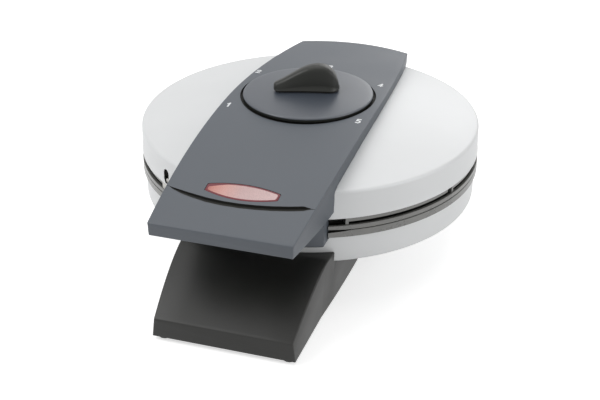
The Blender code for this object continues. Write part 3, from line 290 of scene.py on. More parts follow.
def trapezium(y, low_half, low, high_half, high):
    """An upright section across the machine, from its half widths and heights."""
    return [(-low_half, y, low), (low_half, y, low), (high_half, y, high), (-high_half, y, high)]


def front_strip(inner, outer, half, steps):
    """The outline of a strip at the front between two circles round the shells' axis, seen from above."""
    points = [(x, -math.sqrt(inner ** 2 - x * x)) for x in spread(-half, half, steps)]
    return points + [(x, -math.sqrt(outer ** 2 - x * x)) for x in spread(half, -half, steps)]


def fall(place, start, end, drop, power=2.0):
    """How far a curve that drops away from start has dropped at a place on the way to end."""
    return drop * ((place - start) / (end - start)) ** power


def follow(table, place):
    """Read a table of (place, value) pairs in rising order of place, with straight lines between them."""
    if place <= table[0][0]:
        return table[0][1]
    for (here, value), (there, other) in zip(table, table[1:]):
        if place <= there:
            return value + (other - value) * (place - here) / (there - here)
    return table[-1][1]


# Materials

def add_node(tree, kind, **inputs):
    """A shader node; the inputs are named as its sockets are, with _ for a space."""
    node = tree.nodes.new("ShaderNode" + kind)
    for name, value in inputs.items():
        node.inputs[name.replace("_", " ")].default_value = value
    return node


def join(source, output, target, socket):
    source.id_data.links.new(source.outputs[output], target.inputs[socket])


def new_material(name, colour, roughness, metallic=0.0, specular=0.5):
    material = bpy.data.materials.new(name)
    material.use_nodes = True
    shader = material.node_tree.nodes["Principled BSDF"]
    shader.inputs["Base Color"].default_value = (*colour, 1.0)
    shader.inputs["Roughness"].default_value = roughness
    shader.inputs["Metallic"].default_value = metallic
    shader.inputs["Specular IOR Level"].default_value = specular
    return material, shader


def add_noise(tree, scale, detail):
    place = add_node(tree, "TexCoord")
    noise = add_node(tree, "TexNoise", Scale=scale, Detail=detail)
    join(place, "Object", noise, "Vector")
    return noise


def add_bump(shader, texture, output, strength, height):
    """Raise the surface by a texture's output, over a height in millimetres."""
    bump = add_node(shader.id_data, "Bump", Strength=strength, Distance=height * MM)
    join(texture, output, bump, "Height")
    join(bump, "Normal", shader, "Normal")


NOISE_LOW = 0.3
NOISE_HIGH = 0.7


def varied(name, dark, light, roughness, metallic=0.0, specular=0.5, cloud=(80.0, 3.0),
           grain=(960.0, 2.0, 0.2, 0.03)):
    """A finish that changes slowly in colour and roughness, over a fine grain.

    cloud is the slow noise's scale and detail. grain is the fine noise's scale and detail and the bump's
    strength and height, or None on a smooth surface.
    """
    middle = [(less + more) / 2 for less, more in zip(dark, light)]
    material, shader = new_material(name, middle, sum(roughness) / 2, metallic, specular)
    tree = material.node_tree
    noise = add_noise(tree, *cloud)
    ramp = add_node(tree, "ValToRGB")
    for element, position, colour in zip(ramp.color_ramp.elements, (NOISE_LOW, NOISE_HIGH), (dark, light)):
        element.position = position
        element.color = (*colour, 1.0)
    join(noise, "Fac", ramp, "Fac")
    join(ramp, "Color", shader, "Base Color")
    low, high = roughness
    levels = add_node(tree, "MapRange", From_Min=NOISE_LOW, From_Max=NOISE_HIGH, To_Min=low, To_Max=high)
    join(noise, "Fac", levels, "Value")
    join(levels, "Result", shader, "Roughness")
    if grain:
        scale, detail, strength, height = grain
        add_bump(shader, add_noise(tree, scale, detail), "Fac", strength, height)
    return material


def plastic(name, dark, light, roughness, specular, height=0.04):
    """Spark-eroded plastic: a fine pebble with slow changes of tone."""
    return varied(name, dark, light, roughness, 0.0, specular, (30.0, 3.0), (1500.0, 3.0, 0.35, height))


LENS_PINK = (0.64, 0.46, 0.45)
LENS_TONES = ((0.08, (0.54, 0.22, 0.18)), (0.26, (0.62, 0.33, 0.29)), (0.50, (0.56, 0.38, 0.37)))
LENS_SPAN = 22.0 * MM


def lens_glass():
    """Pink dotted face, warmer towards its left end."""
    material, shader = new_material("lens_face", LENS_PINK, 0.30)
    tree = material.node_tree
    place = add_node(tree, "TexCoord")
    cells = add_node(tree, "TexVoronoi", Scale=1500.0)
    join(place, "Object", cells, "Vector")
    apart = add_node(tree, "SeparateXYZ")
    join(place, "Object", apart, "Vector")
    across = add_node(tree, "MapRange", From_Min=-LENS_SPAN, From_Max=LENS_SPAN)
    join(apart, "X", across, "Value")
    warmth = add_node(tree, "ValToRGB")
    warmth.color_ramp.elements[0].color = (0.34, 0.080, 0.080, 1.0)
    warmth.color_ramp.elements[1].color = (*LENS_PINK, 1.0)
    for position, colour in LENS_TONES:
        warmth.color_ramp.elements.new(position).color = (*colour, 1.0)
    join(across, "Result", warmth, "Fac")
    dots = add_node(tree, "MapRange", From_Max=0.6, To_Min=0.84, To_Max=1.06)
    join(cells, "Distance", dots, "Value")
    shade = add_node(tree, "VectorMath")
    shade.operation = "SCALE"
    join(warmth, "Color", shade, 0)
    join(dots, "Result", shade, "Scale")
    join(shade, "Vector", shader, "Base Color")
    add_bump(shader, cells, "Distance", 0.3, 0.1)
    return material


MATERIALS = {
    "lacquer": varied("silver_lacquer", (0.725, 0.735, 0.74), (0.755, 0.765, 0.77), (0.46, 0.51), 0.12,
                      cloud=(18.0, 2.0), grain=(2600.0, 2.0, 0.12, 0.02)),
    "strap": plastic("strap_plastic", (0.052, 0.063, 0.078), (0.061, 0.072, 0.088), (0.48, 0.54), 0.8),
    "disc": plastic("dial_plastic", (0.042, 0.052, 0.068), (0.047, 0.057, 0.074), (0.36, 0.40), 0.9, 0.02),
    "stand": plastic("stand_plastic", (0.010, 0.010, 0.009), (0.013, 0.013, 0.011), (0.40, 0.46), 0.45),
    # The shade material is painted shade: near-black plastic put on the faces of gaps, grooves, holes and
    # hollows where there is only shade.
    "shade": plastic("painted_shade_plastic", (0.010, 0.010, 0.009), (0.014, 0.014, 0.011), (0.60, 0.66), 0.3),
    "knob": plastic("knob_plastic", (0.007, 0.008, 0.006), (0.009, 0.010, 0.007), (0.36, 0.42), 0.4, 0.01),
    "casting": varied("coated_casting", (0.118, 0.118, 0.110), (0.145, 0.145, 0.135), (0.25, 0.32),
                      specular=1.0, cloud=(60.0, 4.0), grain=(900.0, 3.0, 0.20, 0.03)),
    "bare_casting": varied("bare_casting", (0.50, 0.49, 0.46), (0.57, 0.56, 0.53), (0.306, 0.374), 0.3),
    "steel": varied("zinc_plate", (0.56, 0.56, 0.57), (0.66, 0.66, 0.67), (0.22, 0.38), 1.0,
                    cloud=(300.0, 3.0), grain=None),
    "rubber": varied("foot_rubber", (0.020, 0.020, 0.020), (0.030, 0.030, 0.030), (0.72, 0.88)),
    "sheath": varied("heater_sheath", (0.13, 0.12, 0.11), (0.22, 0.19, 0.16), (0.45, 0.55), 0.8),
    "reflector": varied("reflector_sheet", (0.66, 0.66, 0.64), (0.76, 0.76, 0.74), (0.288, 0.352), 0.9),
    "ceramic": varied("insulator", (0.74, 0.72, 0.66), (0.82, 0.80, 0.74), (0.54, 0.66)),
    "lens_face": lens_glass(),
    "lens_edge": varied("lens_edge", (0.14, 0.010, 0.018), (0.17, 0.014, 0.022), (0.405, 0.495)),
    "ink": varied("number_ink", (0.80, 0.81, 0.82), (0.86, 0.87, 0.88), (0.45, 0.55)),
}


# Strap

def strap_top(y):
    if y < STRAP_CREST_Y:
        return STRAP_CREST - fall(y, STRAP_CREST_Y, STRAP_FRONT, STRAP_FRONT_DROP, STRAP_FRONT_POWER)
    return STRAP_CREST - fall(y, STRAP_CREST_Y, STRAP_REAR, STRAP_REAR_DROP, STRAP_REAR_POWER)


def strap_half(y):
    if y < STRAP_WIDEST_Y:
        return STRAP_HALF - fall(y, STRAP_WIDEST_Y, STRAP_FRONT, STRAP_FRONT_TAPER)
    return STRAP_HALF - fall(y, STRAP_WIDEST_Y, STRAP_REAR, STRAP_REAR_TAPER)


def strap_bow(y):
    """How far the middle of the strap's cross-section bows backwards."""
    return STRAP_REAR_BOW * max(0.0, y / STRAP_REAR) ** 2


def strap_height(x, y):
    """The top of the strap at a point, found by closing in on the cross-section that bows through it."""
    near = y
    for _ in range(8):
        near = y - strap_bow(near) * (1 - (x / strap_half(near)) ** 2)
    return strap_top(near)


def strap_low(y):
    if y < BLOCK_FRONT:
        return GRIP_LOW + GRIP_TIP_LIFT * (BLOCK_FRONT - y) / (BLOCK_FRONT - STRAP_FRONT)
    if y < STRAP_MEET_Y:
        return GRIP_LOW
    return STRAP_LOW


def strap_ring(y, inset, bow):
    """One cross-section of the strap with rounded upper edges, drawn in by inset at its ends."""
    half = strap_half(y) - inset
    top = strap_top(y) - inset
    low = strap_low(y) + inset
    foot = half - STRAP_DRAFT
    corner = half - STRAP_EDGE
    shares = spread(-1.0, 1.0, STRAP_ACROSS)
    ring = [(share * foot, y + bow * (1 - share ** 2), low) for share in shares]
    side = [(foot + 0.25, low + (top - low) * 0.35), (half - 0.2, low + (top - low) * 0.75)]
    side += arc((corner, top - STRAP_EDGE), STRAP_EDGE, 0, 67.5, 3)
    ring += [(x, y, z) for x, z in side]
    ring += [(share * corner, y + bow * (1 - share ** 2), top) for share in shares[::-1]]
    ring += [(-x, y, z) for x, z in side[::-1]]
    return ring


def strap_body():
    rings = [strap_ring(STRAP_FRONT + along, inset, 0.0) for along, inset in end_steps()]
    for y in spread(STRAP_FRONT + END_RADIUS, STRAP_REAR - END_RADIUS, 120):
        rings.append(strap_ring(y, 0.0, strap_bow(y)))
    rings += [strap_ring(STRAP_REAR - along, inset, STRAP_REAR_BOW) for along, inset in end_steps()[::-1]]
    bm = bmesh.new()
    last = loft(bm, rings, close_last=False)[-1]
    close_in_strips(bm, last)
    return piece_from("strap_cover", bm, "strap")


def close_in_strips(bm, ring):
    """The strap's rear wall in upright strips, because its points don't lie in one plane."""
    side = (len(ring) - 2 * (STRAP_ACROSS + 1)) // 2
    top_end = 2 * STRAP_ACROSS + 1 + side
    for step in range(STRAP_ACROSS):
        bm.faces.new((ring[step], ring[step + 1], ring[top_end - step - 1], ring[top_end - step]))
    bm.faces.new(ring[STRAP_ACROSS:STRAP_ACROSS + side + 2])
    bm.faces.new(ring[top_end:] + [ring[0]])


def strap_hollow(start, end):
    rings = []
    for y in spread(start, end, 24):
        half = strap_half(y) - STRAP_WALL
        rings.append(trapezium(y, half, LID_EDGE, half, strap_top(y) - STRAP_WALL))
    return lofted("hollow", rings)


def lid_room():
    """The round space that the lid fills under the strap, open downwards."""
    shoulder, shoulder_radius, bottom = 22.3, 4.2, -20.0
    profile = [(0, LID_CREST + FIT)]
    profile += [(r, lid_height(r) + FIT) for r in spread(10, LID_DOME_EDGE, 18)]
    profile += arc((LID_DOME_EDGE, shoulder), shoulder_radius + FIT, 68, 0, 6)
    profile += [(SHELL_RADIUS + FIT, bottom), (0, bottom)]
    return turned("lid_room", profile)


# The crescent groove: how far back its rear wall lies, and how wide it is from there forwards
GROOVE_HALF = 48.0
GROOVE_REAR = ((-48.0, -129.5), (-43.0, -130.4), (-40.5, -131.1), (-29.3, -133.4), (-18.2, -135.3),
               (-7.8, -136.15), (2.3, -136.1), (12.0, -135.3), (21.4, -133.95), (30.6, -132.0),
               (36.5, -130.4), (38.4, -130.0), (43.4, -131.1), (48.0, -131.2))
SEAM_WIDTH = 0.3
SEAM_DEPTH = 0.25
GROOVE_WIDTHS = ((-43.0, SEAM_WIDTH), (-40.5, 1.5), (-34.0, 2.9), (-28.0, 3.4), (-17.0, 3.9), (12.0, 4.1),
                 (31.0, 4.4), (37.0, 4.4), (38.8, 4.1), (43.4, SEAM_WIDTH))
GROOVE_STEEPNESS = 0.34
WALL_SLANT = 0.02
CUTTER_RISE = 3.0


def groove_cutter():
    """The crescent scoop: a steep rear wall, a floor that rises forwards, and a fine seam at each end; its
    faces carry painted shade.
    """
    rings = []
    for x in spread(-GROOVE_HALF, GROOVE_HALF, 96):
        rear = follow(GROOVE_REAR, x)
        width = follow(GROOVE_WIDTHS, x)
        depth = SEAM_DEPTH + GROOVE_STEEPNESS * (width - SEAM_WIDTH)
        ring = [(x, rear, strap_top(rear) + CUTTER_RISE), (x, rear - WALL_SLANT, strap_top(rear) - depth)]
        for part in spread(0.2, 1.0, 6):
            y = rear - width * part
            ring.append((x, y, strap_top(y) - depth * max(0.0, 1 - part) ** 0.6 + WALL_SLANT * part))
        front = rear - width
        ring.append((x, front - WALL_SLANT, strap_top(front) + CUTTER_RISE))
        rings.append(ring)
    return lofted("groove", rings, "shade")


def handle_strap():
    strap = strap_body()
    carve(strap, strap_hollow(STRAP_FRONT + STRAP_WALL, DIAL_Y - DIAL_ROOM))
    carve(strap, strap_hollow(DIAL_Y + DIAL_ROOM, STRAP_REAR - STRAP_WALL))
    carve(strap, lid_room())
    # The tray and the lens hole are cut with the shade material, so their faces carry painted shade.
    above = 46
    tray = [(0, DIAL_TRAY), (DIAL_HOLE, DIAL_TRAY), (DIAL_HOLE, above), (0, above)]
    carve(strap, turned("tray", tray, "shade", 35, (0, DIAL_Y), 128, 0.0))
    carve(strap, upright("lens_hole", lens_outline(-FIT), 18.0, 44.0, "shade"))
    carve(strap, groove_cutter())
    carve(strap, upright("shaft_hole", circle((0, DIAL_Y), SHAFT_HOLE + 0.1), 20, 50))
    settle(strap, "lid", "dark_plastic", "handle_strap")


# Shells

def lid_height(radius):
    return LID_CREST - LID_DOME_RISE * (radius / LID_DOME_EDGE) ** 2


def base_height(radius):
    return BASE_CREST + BASE_DOME_RISE * (radius / BASE_DOME_EDGE) ** 2


def lid_shell():
    """Pressed sheet: a flat dome, a tight shoulder, a wall that hardly widens and a rolled lower edge."""
    outer = [(r, lid_height(r)) for r in [LID_HOLE] + spread(14.0, 107.0, 24)]
    outer += arc(LID_SHOULDER, LID_SHOULDER_RADIUS, 75, 3, 8)
    outer += [(109.62, 20.0), (109.68, 14.0), (109.72, 9.6), (109.80, 9.0), (109.96, 8.7)]
    outer += arc((109.55, 8.05), 0.45, 30, -110, 6)
    inner = [(108.9, 8.2), (108.85, 14.0), (108.8, 22.0), (107.6, 24.6), (106.5, 25.2)]
    inner += [(r, lid_height(r) - SHEET) for r in spread(104.0, 14.0, 12) + [LID_HOLE]]
    shell = turned("lid_skin", outer + inner, "lacquer", 50)
    notch = front_strip(NOTCH_INNER, NOTCH_OUTER, NOTCH_HALF, 12)
    carve(shell, upright("lid_notch", notch, NOTCH_LOW, NOTCH_HIGH), angle=50)
    carve(shell, side_slot(), angle=50)
    settle(shell, "lid", "silver_paint", "lid_shell")


# The short upright slot in the lid's wall, left of the grip
SLOT_TURN = 35.8
SLOT_RADIUS = 2.8
SLOT_LOW = 11.2
SLOT_HIGH = 15.3
SLOT_BACK = 106.2


def side_slot():
    outline = arc((0, SLOT_HIGH), SLOT_RADIUS, 0, 180, 12) + arc((0, SLOT_LOW), SLOT_RADIUS, 180, 360, 12)
    # The slot's cut walls take the shade material: painted shade.
    return lofted("slot", [slot_ring(outline, reach) for reach in (107.0, 114.0)], "shade")


def slot_ring(outline, reach):
    """An outline of (across, height) points stood upright in the wall, reach away from the axis."""
    return [(*rotated(reach, across, -90 - SLOT_TURN), z) for across, z in outline]


def slot_insides():
    """A sheet of painted shade standing for the dark well behind the slot, with the small grey catch that
    shows at its bottom.
    """
    well = [(-3.4, 7.8), (3.4, 7.8), (3.4, 18.8), (-3.4, 18.8)]
    back = lofted("slot_well", [slot_ring(well, reach) for reach in (SLOT_BACK - 0.6, SLOT_BACK)], "shade")
    settle(back, "lid", "dark_plastic")
    outline = [(-1.4, 8.6), (1.6, 8.6), (2.0, 10.0), (1.6, 11.4), (0.2, 11.8), (-1.2, 11.0), (-1.9, 10.0)]
    rings = [slot_ring(outline, reach) for reach in (SLOT_BACK, SLOT_BACK + 2.8)]
    settle(lofted("slot_catch", rings, "bare_casting"), "lid", "cast_plate")


def base_shell():
    outer = [(r, base_height(r)) for r in [BASE_HOLE] + spread(18.0, BASE_DOME_EDGE, 20)]
    outer += arc((BASE_DOME_EDGE, BASE_SHOULDER), BASE_SHOULDER_RADIUS, -80, -6, 8)
    outer += [(108.3, -14.0), (108.4, -9.0)]
    outer += arc((108.2, -5.25), 0.4, -10, 110, 6)
    inner = [(107.5, -5.4), (107.4, -10.0), (107.3, -20.0), (105.6, -21.4)]
    inner += [(r, base_height(r) + SHEET) for r in spread(102.0, 18.0, 10) + [BASE_HOLE]]
    shell = turned("base_skin", outer + inner, "lacquer", 50)
    flat, corner = NOTCH_HALF - NOTCH_CORNER, NOTCH_LOW + NOTCH_CORNER
    notch = [(-flat, NOTCH_LOW), (flat, NOTCH_LOW), (NOTCH_HALF, corner), (NOTCH_HALF, 4.0),
             (-NOTCH_HALF, 4.0), (-NOTCH_HALF, corner)]
    carve(shell, lofted("base_notch", [[(x, y, z) for x, z in notch] for y in (-90.0, -122.0)]), angle=50)
    settle(shell, "base", "silver_paint", "base_shell")


# Plates: five hearts round the axis, each with its tip near it, and studs that make the waffle's grid

HEART_TURNS = [90 + 72 * number for number in range(5)]
HEART_REACH = 77.0
HEART_TIP = 4.5
HEART_ANGLE = 33.5
HEART_SLOPE = math.radians(HEART_ANGLE)
LOBE_RADIUS = 19.0
LOBE_ALONG = HEART_REACH - LOBE_RADIUS
LOBE_ASIDE = ((LOBE_ALONG - HEART_TIP) * math.sin(HEART_SLOPE) - LOBE_RADIUS) / math.cos(HEART_SLOPE)
POCKET_DEPTH = 7.0
STUD_PITCH = 11.5
STUD_CLEARANCE = 7.0
STUD_CORNER = 0.8
POCKET_STEPS = ((0.0, -3.0), (0.0, 0.3), (0.5, POCKET_DEPTH - 1.0), (1.2, POCKET_DEPTH - 0.25),
                (2.2, POCKET_DEPTH))
STUD_STEPS = ((3.6, POCKET_DEPTH + 0.8), (3.3, POCKET_DEPTH - 0.4), (2.5, 3.4), (2.1, 2.9), (1.6, 2.8))
PARTING_GAPS = {1: 0.2, -1: 0.3}
FLANGE_EDGE = 0.2
PLATE_DEPTH = 10.5
UPPER_RIM, UPPER_BODY = 3.0, 101.0
LOWER_RIM, LOWER_BODY = 4.6, 105.5


def heart_outline(direction, shrink):
    radius = LOBE_RADIUS - shrink
    tip = HEART_TIP + shrink / math.sin(HEART_SLOPE)
    meet = math.degrees(math.acos(min(1.0, max(0.0, LOBE_ASIDE / radius))))
    left = arc((LOBE_ALONG, LOBE_ASIDE), radius, 90 + HEART_ANGLE, meet - 90, 28)
    right = [(u, -v) for u, v in left[::-1][1:]]
    return [rotated(u, v, direction) for u, v in [(tip, 0.0)] + left + right]


def heart_cutters(side):
    bm = bmesh.new()
    for direction in HEART_TURNS:
        loft(bm, [[(x, y, side * depth) for x, y in heart_outline(direction, shrink)]
                  for shrink, depth in POCKET_STEPS])
    return piece_from("hearts", bm)


def inside_heart(u, v, reach):
    if u < LOBE_ALONG:
        return (u - HEART_TIP) * math.sin(HEART_SLOPE) - abs(v) * math.cos(HEART_SLOPE) > reach
    return math.hypot(u - LOBE_ALONG, abs(v) - LOBE_ASIDE) < LOBE_RADIUS - reach


def heart_studs(side):
    """Tapered square studs in rows."""
    bm = bmesh.new()
    for direction in HEART_TURNS:
        for row in range(7):
            for column in range(-6, 7):
                u, v = (row + 0.5) * STUD_PITCH, column * STUD_PITCH
                if not inside_heart(u, v, STUD_CLEARANCE):
                    continue
                rings = []
                for half, depth in STUD_STEPS:
                    rings.append([(*rotated(u + du, v + dv, direction), side * depth)
                                  for du, dv in rounded_square(half, STUD_CORNER)])
                loft(bm, rings)
    return piece_from("studs", bm)


def rounded_square(half, radius):
    points = []
    for number, (x, y) in enumerate(SQUARE[2:] + SQUARE[:2]):
        middle = (x * (half - radius), y * (half - radius))
        points += arc(middle, radius, 90 * number, 90 * number + 90, 3)
    return points


def plate_profile(side, rim, body_radius):
    """Half the plate's cross-section: a thin flange with broken edges and the body inside the shell."""
    face, low, back = side * PARTING_GAPS[side], side * rim, side * PLATE_DEPTH
    edge, brink = side * FLANGE_EDGE, SHELL_RADIUS - FLANGE_EDGE
    return [(0, face), (brink, face), (SHELL_RADIUS, face + edge), (SHELL_RADIUS, low - edge), (brink, low),
            (body_radius, low), (body_radius, back), (0, back)]


def baking_plate(name, side, rim, body_radius, node, body):
    plate = turned(name, plate_profile(side, rim, body_radius), "casting", 40)
    carve(plate, heart_cutters(side), angle=40)
    carve(plate, heart_studs(side), "UNION", angle=40)
    notch = front_strip(NOTCH_INNER, NOTCH_OUTER, NOTCH_HALF, 12)
    carve(plate, upright("plate_notch", notch, NOTCH_LOW, NOTCH_HIGH), angle=40)
    if side > 0:
        # A channel in the upper rim's top whose faces carry painted shade, so it reads black through the
        # slit above.
        inner, outer, low, high = 103.0, 108.3, rim - 1.6, rim + 0.5
        channel = [(inner, low), (outer, low), (outer, high), (inner, high)]
        carve(plate, turned("channel", channel, "shade"), angle=40)
    carve(plate, rim_wedge(), angle=40)
    settle(plate, body, "cast_plate", node)


WEDGE_START = 22.5
WEDGE_END = 30.5
WEDGE_INNER = 107.6
WEDGE_OUTER = 110.6


def rim_wedge():
    """Beside the grip on the right the line between the plates opens into a wedge, whose faces carry
    painted shade.
    """
    rings = []
    for angle in spread(WEDGE_START, WEDGE_END, 8):
        opening = (WEDGE_END - angle) / (WEDGE_END - WEDGE_START)
        low, high = -0.35 - 1.1 * opening, 0.25 + 0.7 * opening
        section = ((WEDGE_INNER, low), (WEDGE_OUTER, low), (WEDGE_OUTER, high), (WEDGE_INNER, high))
        rings.append([(*rotated(radius, 0.0, angle - 90), z) for radius, z in section])
    return lofted("wedge", rings, "shade")


# The recess over the upper rim, with angles measured from the front

POST_ANGLES = (29.4, 71.5, 113.6, 155.7)
POST_INNER = 104.0
POST_OUTER = 109.0
POST_LOW = UPPER_RIM - 0.1
TAB_ANGLES = (-24.5, -39.0)
BAND_LEAD = 0.4
BAND_STOP = 2.5
BAND_LEFT_START = 38.5
BAND_INNER = 106.6
BAND_OUTER = 108.6
BAND_LOW = 4.7
BAND_HIGH = 7.9


def band_rings(start, end, inner, outer, low, high):
    """Sections of a flat band bent round the axis between two angles."""
    rings = []
    for angle in spread(start, end, max(1, int(abs(end - start) / 1.5))):
        section = ((inner, low), (outer, low + 0.1), (outer, high), (inner, high))
        rings.append([(*rotated(radius, 0.0, angle - 90), z) for radius, z in section])
    return rings


def side_ring():
    """The recessed band; it stops short in front of each post, and on the left it starts behind the tab."""
    bm = bmesh.new()
    for side, first in ((1, POST_ANGLES[0] - BAND_LEAD), (-1, BAND_LEFT_START)):
        starts = [first] + [angle - BAND_LEAD for angle in POST_ANGLES[1:]]
        ends = [angle - BAND_STOP for angle in POST_ANGLES[1:]] + [180.0]
        for start, end in zip(starts, ends):
            loft(bm, band_rings(side * start, side * end, BAND_INNER, BAND_OUTER, BAND_LOW, BAND_HIGH))
    settle(piece_from("rim_band", bm, "casting", 40), "lid", "cast_plate")


def rim_posts():
    """The light posts in the recess, and the longer tab that fills it on the left of the grip."""
    bm = bmesh.new()
    for side in (1, -1):
        for angle in POST_ANGLES[(1 - side) // 2:]:
            rings = []
            for z, half in ((POST_LOW, 1.0), (7.3, 0.9)):
                section = ((POST_OUTER, -half), (POST_OUTER, half), (POST_INNER, 1.2), (POST_INNER, -1.2))
                rings.append([(*rotated(reach, across, side * angle - 90), z) for reach, across in section])
            loft(bm, rings)
    settle(piece_from("rim_posts", bm, "casting", 30), "lid", "cast_plate")
    rings = band_rings(*TAB_ANGLES, POST_INNER, POST_OUTER + 0.4, POST_LOW, 7.4)
    settle(lofted("left_tab", rings, "bare_casting", 30), "lid", "cast_plate")


# Grip underside

def grip_underside():
    """The grip's floor, and the block that stands in the shells' notch and is drawn in at its lower end."""
    rings = []
    for y in spread(STRAP_FRONT + STRAP_WALL + PLAY, GRIP_FLOOR_END, 24):
        half = strap_half(y) - STRAP_WALL - PLAY
        low = strap_low(y)
        rings.append(trapezium(y, half, low, half, low + GRIP_FLOOR))
    floor = lofted("grip_floor", rings, "strap")
    carve(floor, lid_room())
    outline = front_strip(-BLOCK_BACK, -BLOCK_FRONT, BLOCK_HALF, 24)
    small = [(x * 0.975, y + (0.6 if y < BLOCK_BACK else 0.0)) for x, y in outline]
    rings = [[(x, y, z) for x, y in ring] for ring, z in zip((small, outline, outline), BLOCK_HEIGHTS)]
    carve(floor, lofted("block", rings), "UNION")
    settle(floor, "lid", "dark_plastic", "grip_underside")


# Lens: a barrel with straight ends and two bulging sides

LENS_Y = -126.2
LENS_HALF = 22.1
LENS_FRONT, LENS_FRONT_BULGE = -128.9, 4.4
LENS_REAR, LENS_REAR_BULGE = -122.8, 3.6
LENS_END_FRONT, LENS_END_REAR = -128.4, -123.4
# The broader dark edge at the left end of the lens's rear side is a painted reflection.
PAINTED_REFLECTION_WIDTH = 1.6
PAINTED_REFLECTION_START = -10.5
PAINTED_REFLECTION_GROWTH = 9.0


def lens_outline(shrink):
    """The outline seen from above, drawn in by shrink."""
    end = LENS_HALF - shrink
    points = [(x, LENS_FRONT + shrink - LENS_FRONT_BULGE * (1 - (x / 22.0) ** 2))
              for x in spread(-end + 0.5, end - 0.5, 20)]
    points += [(end, LENS_END_FRONT + shrink), (end, LENS_END_REAR - shrink)]
    points += [(x, LENS_REAR - shrink + LENS_REAR_BULGE * (1 - (x / 21.6) ** 2))
               for x in spread(end - 0.5, -end + 0.5, 20)]
    return points + [(-end, LENS_END_REAR - shrink), (-end, LENS_END_FRONT + shrink)]


def lens_face(shrink):
    """Where the bright face begins: the dark edge broadens towards the left end of its rear side as a
    painted reflection inside the lens.
    """
    points = []
    for x, y in lens_outline(shrink):
        painted_reflection = PAINTED_REFLECTION_WIDTH * min(1.0, max(0.0, (PAINTED_REFLECTION_START - x) / PAINTED_REFLECTION_GROWTH))
        points.append((x, y - painted_reflection if y > LENS_Y else y))
    return points


def indicator_lens():
    outlines = [(lens_outline(0.0), -2.8), (lens_outline(0.0), -0.15), (lens_outline(0.15), 0.0),
                (lens_face(1.25), 0.0), (lens_face(1.4), 0.05)]
    rings = [[(x, y, strap_top(y) + lift) for x, y in outline] for outline, lift in outlines]
    for share in (0.8, 0.55, 0.3):
        ring = []
        for x, y in lens_face(1.4):
            near = LENS_Y + (y - LENS_Y) * share
            ring.append((x * share, near, strap_top(near) + 0.05 + 0.2 * (1 - share)))
        rings.append(ring)
    bm = bmesh.new()
    rows = loft(bm, rings)
    inner = {corner for row in rows[3:] for corner in row}
    for polygon in bm.faces:
        if all(corner in inner for corner in polygon.verts):
            polygon.material_index = 1
    lens = piece_from("lens", bm, "lens_edge", 60)
    lens.data.materials.append(MATERIALS["lens_face"])
    settle(lens, "lid", "lens_red", "indicator_lens")


# Dial

def dial_height(radius):
    return DIAL_TOP + DIAL_CROWN * (1 - (radius / DIAL_RADIUS) ** 2)


def dial_disc():
    """The crowned disc; its upright side is coloured darker than its face as painted shade."""
    chamfer = 0.3
    profile = [(SHAFT_HOLE, DIAL_BOTTOM), (DIAL_RADIUS - chamfer, DIAL_BOTTOM)]
    profile.append((DIAL_RADIUS, DIAL_BOTTOM + chamfer))
    profile += arc((DIAL_RADIUS - DIAL_EDGE, DIAL_TOP - DIAL_EDGE), DIAL_EDGE, 0, 85, 8)
    profile += [(DIAL_RADIUS * share, dial_height(DIAL_RADIUS * share)) for share in spread(0.96, 0.1, 16)]
    profile.append((SHAFT_HOLE, DIAL_TOP + DIAL_CROWN))
    bm = bmesh.new()
    lathe(bm, profile, (0, DIAL_Y), 160, 0.0)
    # Faces below the rounded edge take the darker knob plastic: painted shade on the disc's upright side.
    brink = world(0, 0, DIAL_TOP - DIAL_EDGE).z
    for polygon in bm.faces:
        if polygon.calc_center_median().z < brink:
            polygon.material_index = 1
    disc = piece_from("dial_plate", bm, "disc", 40)
    disc.data.materials.append(MATERIALS["knob"])
    settle(disc, "dial", "dark_plastic", "dial_disc")


# Knob: u runs along it towards its tip, v across it; the profile gives its height over u
KNOB_TURN = 201
KNOB_LIFT = 1.3
KNOB_LIP = 0.3
KNOB_LIP_TOP = 0.7
KNOB_FOOT_INSET = 1.0
KNOB_TIP, KNOB_TIP_RADIUS = 17.8, 4.4
KNOB_TAIL, KNOB_TAIL_RADIUS = -13.0, 7.3
KNOB_PROFILE = ((-20.0, 48.0), (-19.7, 49.8), (-19.0, 52.8), (-17.6, 56.0), (-15.4, 59.0), (-13.0, 61.1),
                (-10.5, 62.2), (-7.5, 62.6), (-4.0, 62.5), (0.2, 61.7), (4.0, 60.2), (10.0, 57.0),
                (15.9, 53.6), (19.5, 51.9), (21.6, 50.9), (22.2, 50.0))


def knob_half(u, inset=0.0):
    """Half the knob's width at its foot: a small circle at the tip and a larger one at the tail."""
    tip, tail = KNOB_TIP_RADIUS - inset, KNOB_TAIL_RADIUS - inset
    if u > KNOB_TIP:
        return math.sqrt(max(0.0, tip ** 2 - (u - KNOB_TIP) ** 2))
    if u < KNOB_TAIL:
        return math.sqrt(max(0.0, tail ** 2 - (KNOB_TAIL - u) ** 2))
    share = (u - KNOB_TAIL) / (KNOB_TIP - KNOB_TAIL)
    return tail + (tip - tail) * share


def knob_places(inset, steps):
    """Places along the knob from tip to tail, closer together round its two ends."""
    tip, tail = KNOB_TIP_RADIUS - inset, KNOB_TAIL_RADIUS - inset
    places = [KNOB_TIP + tip * math.cos(math.radians(angle)) for angle in spread(4, 90, 12)]
    places += spread(KNOB_TIP - 0.6, KNOB_TAIL + 0.4, steps)
    return places + [KNOB_TAIL - tail * math.sin(math.radians(angle)) for angle in spread(0, 88, 18)]


def knob_ring(u, section):
    """A section of (v, z) points, turned to where the knob points."""
    ring = []
    for v, z in section:
        x, y = rotated(u, v, KNOB_TURN)
        ring.append((x, DIAL_Y + y, z))
    return ring


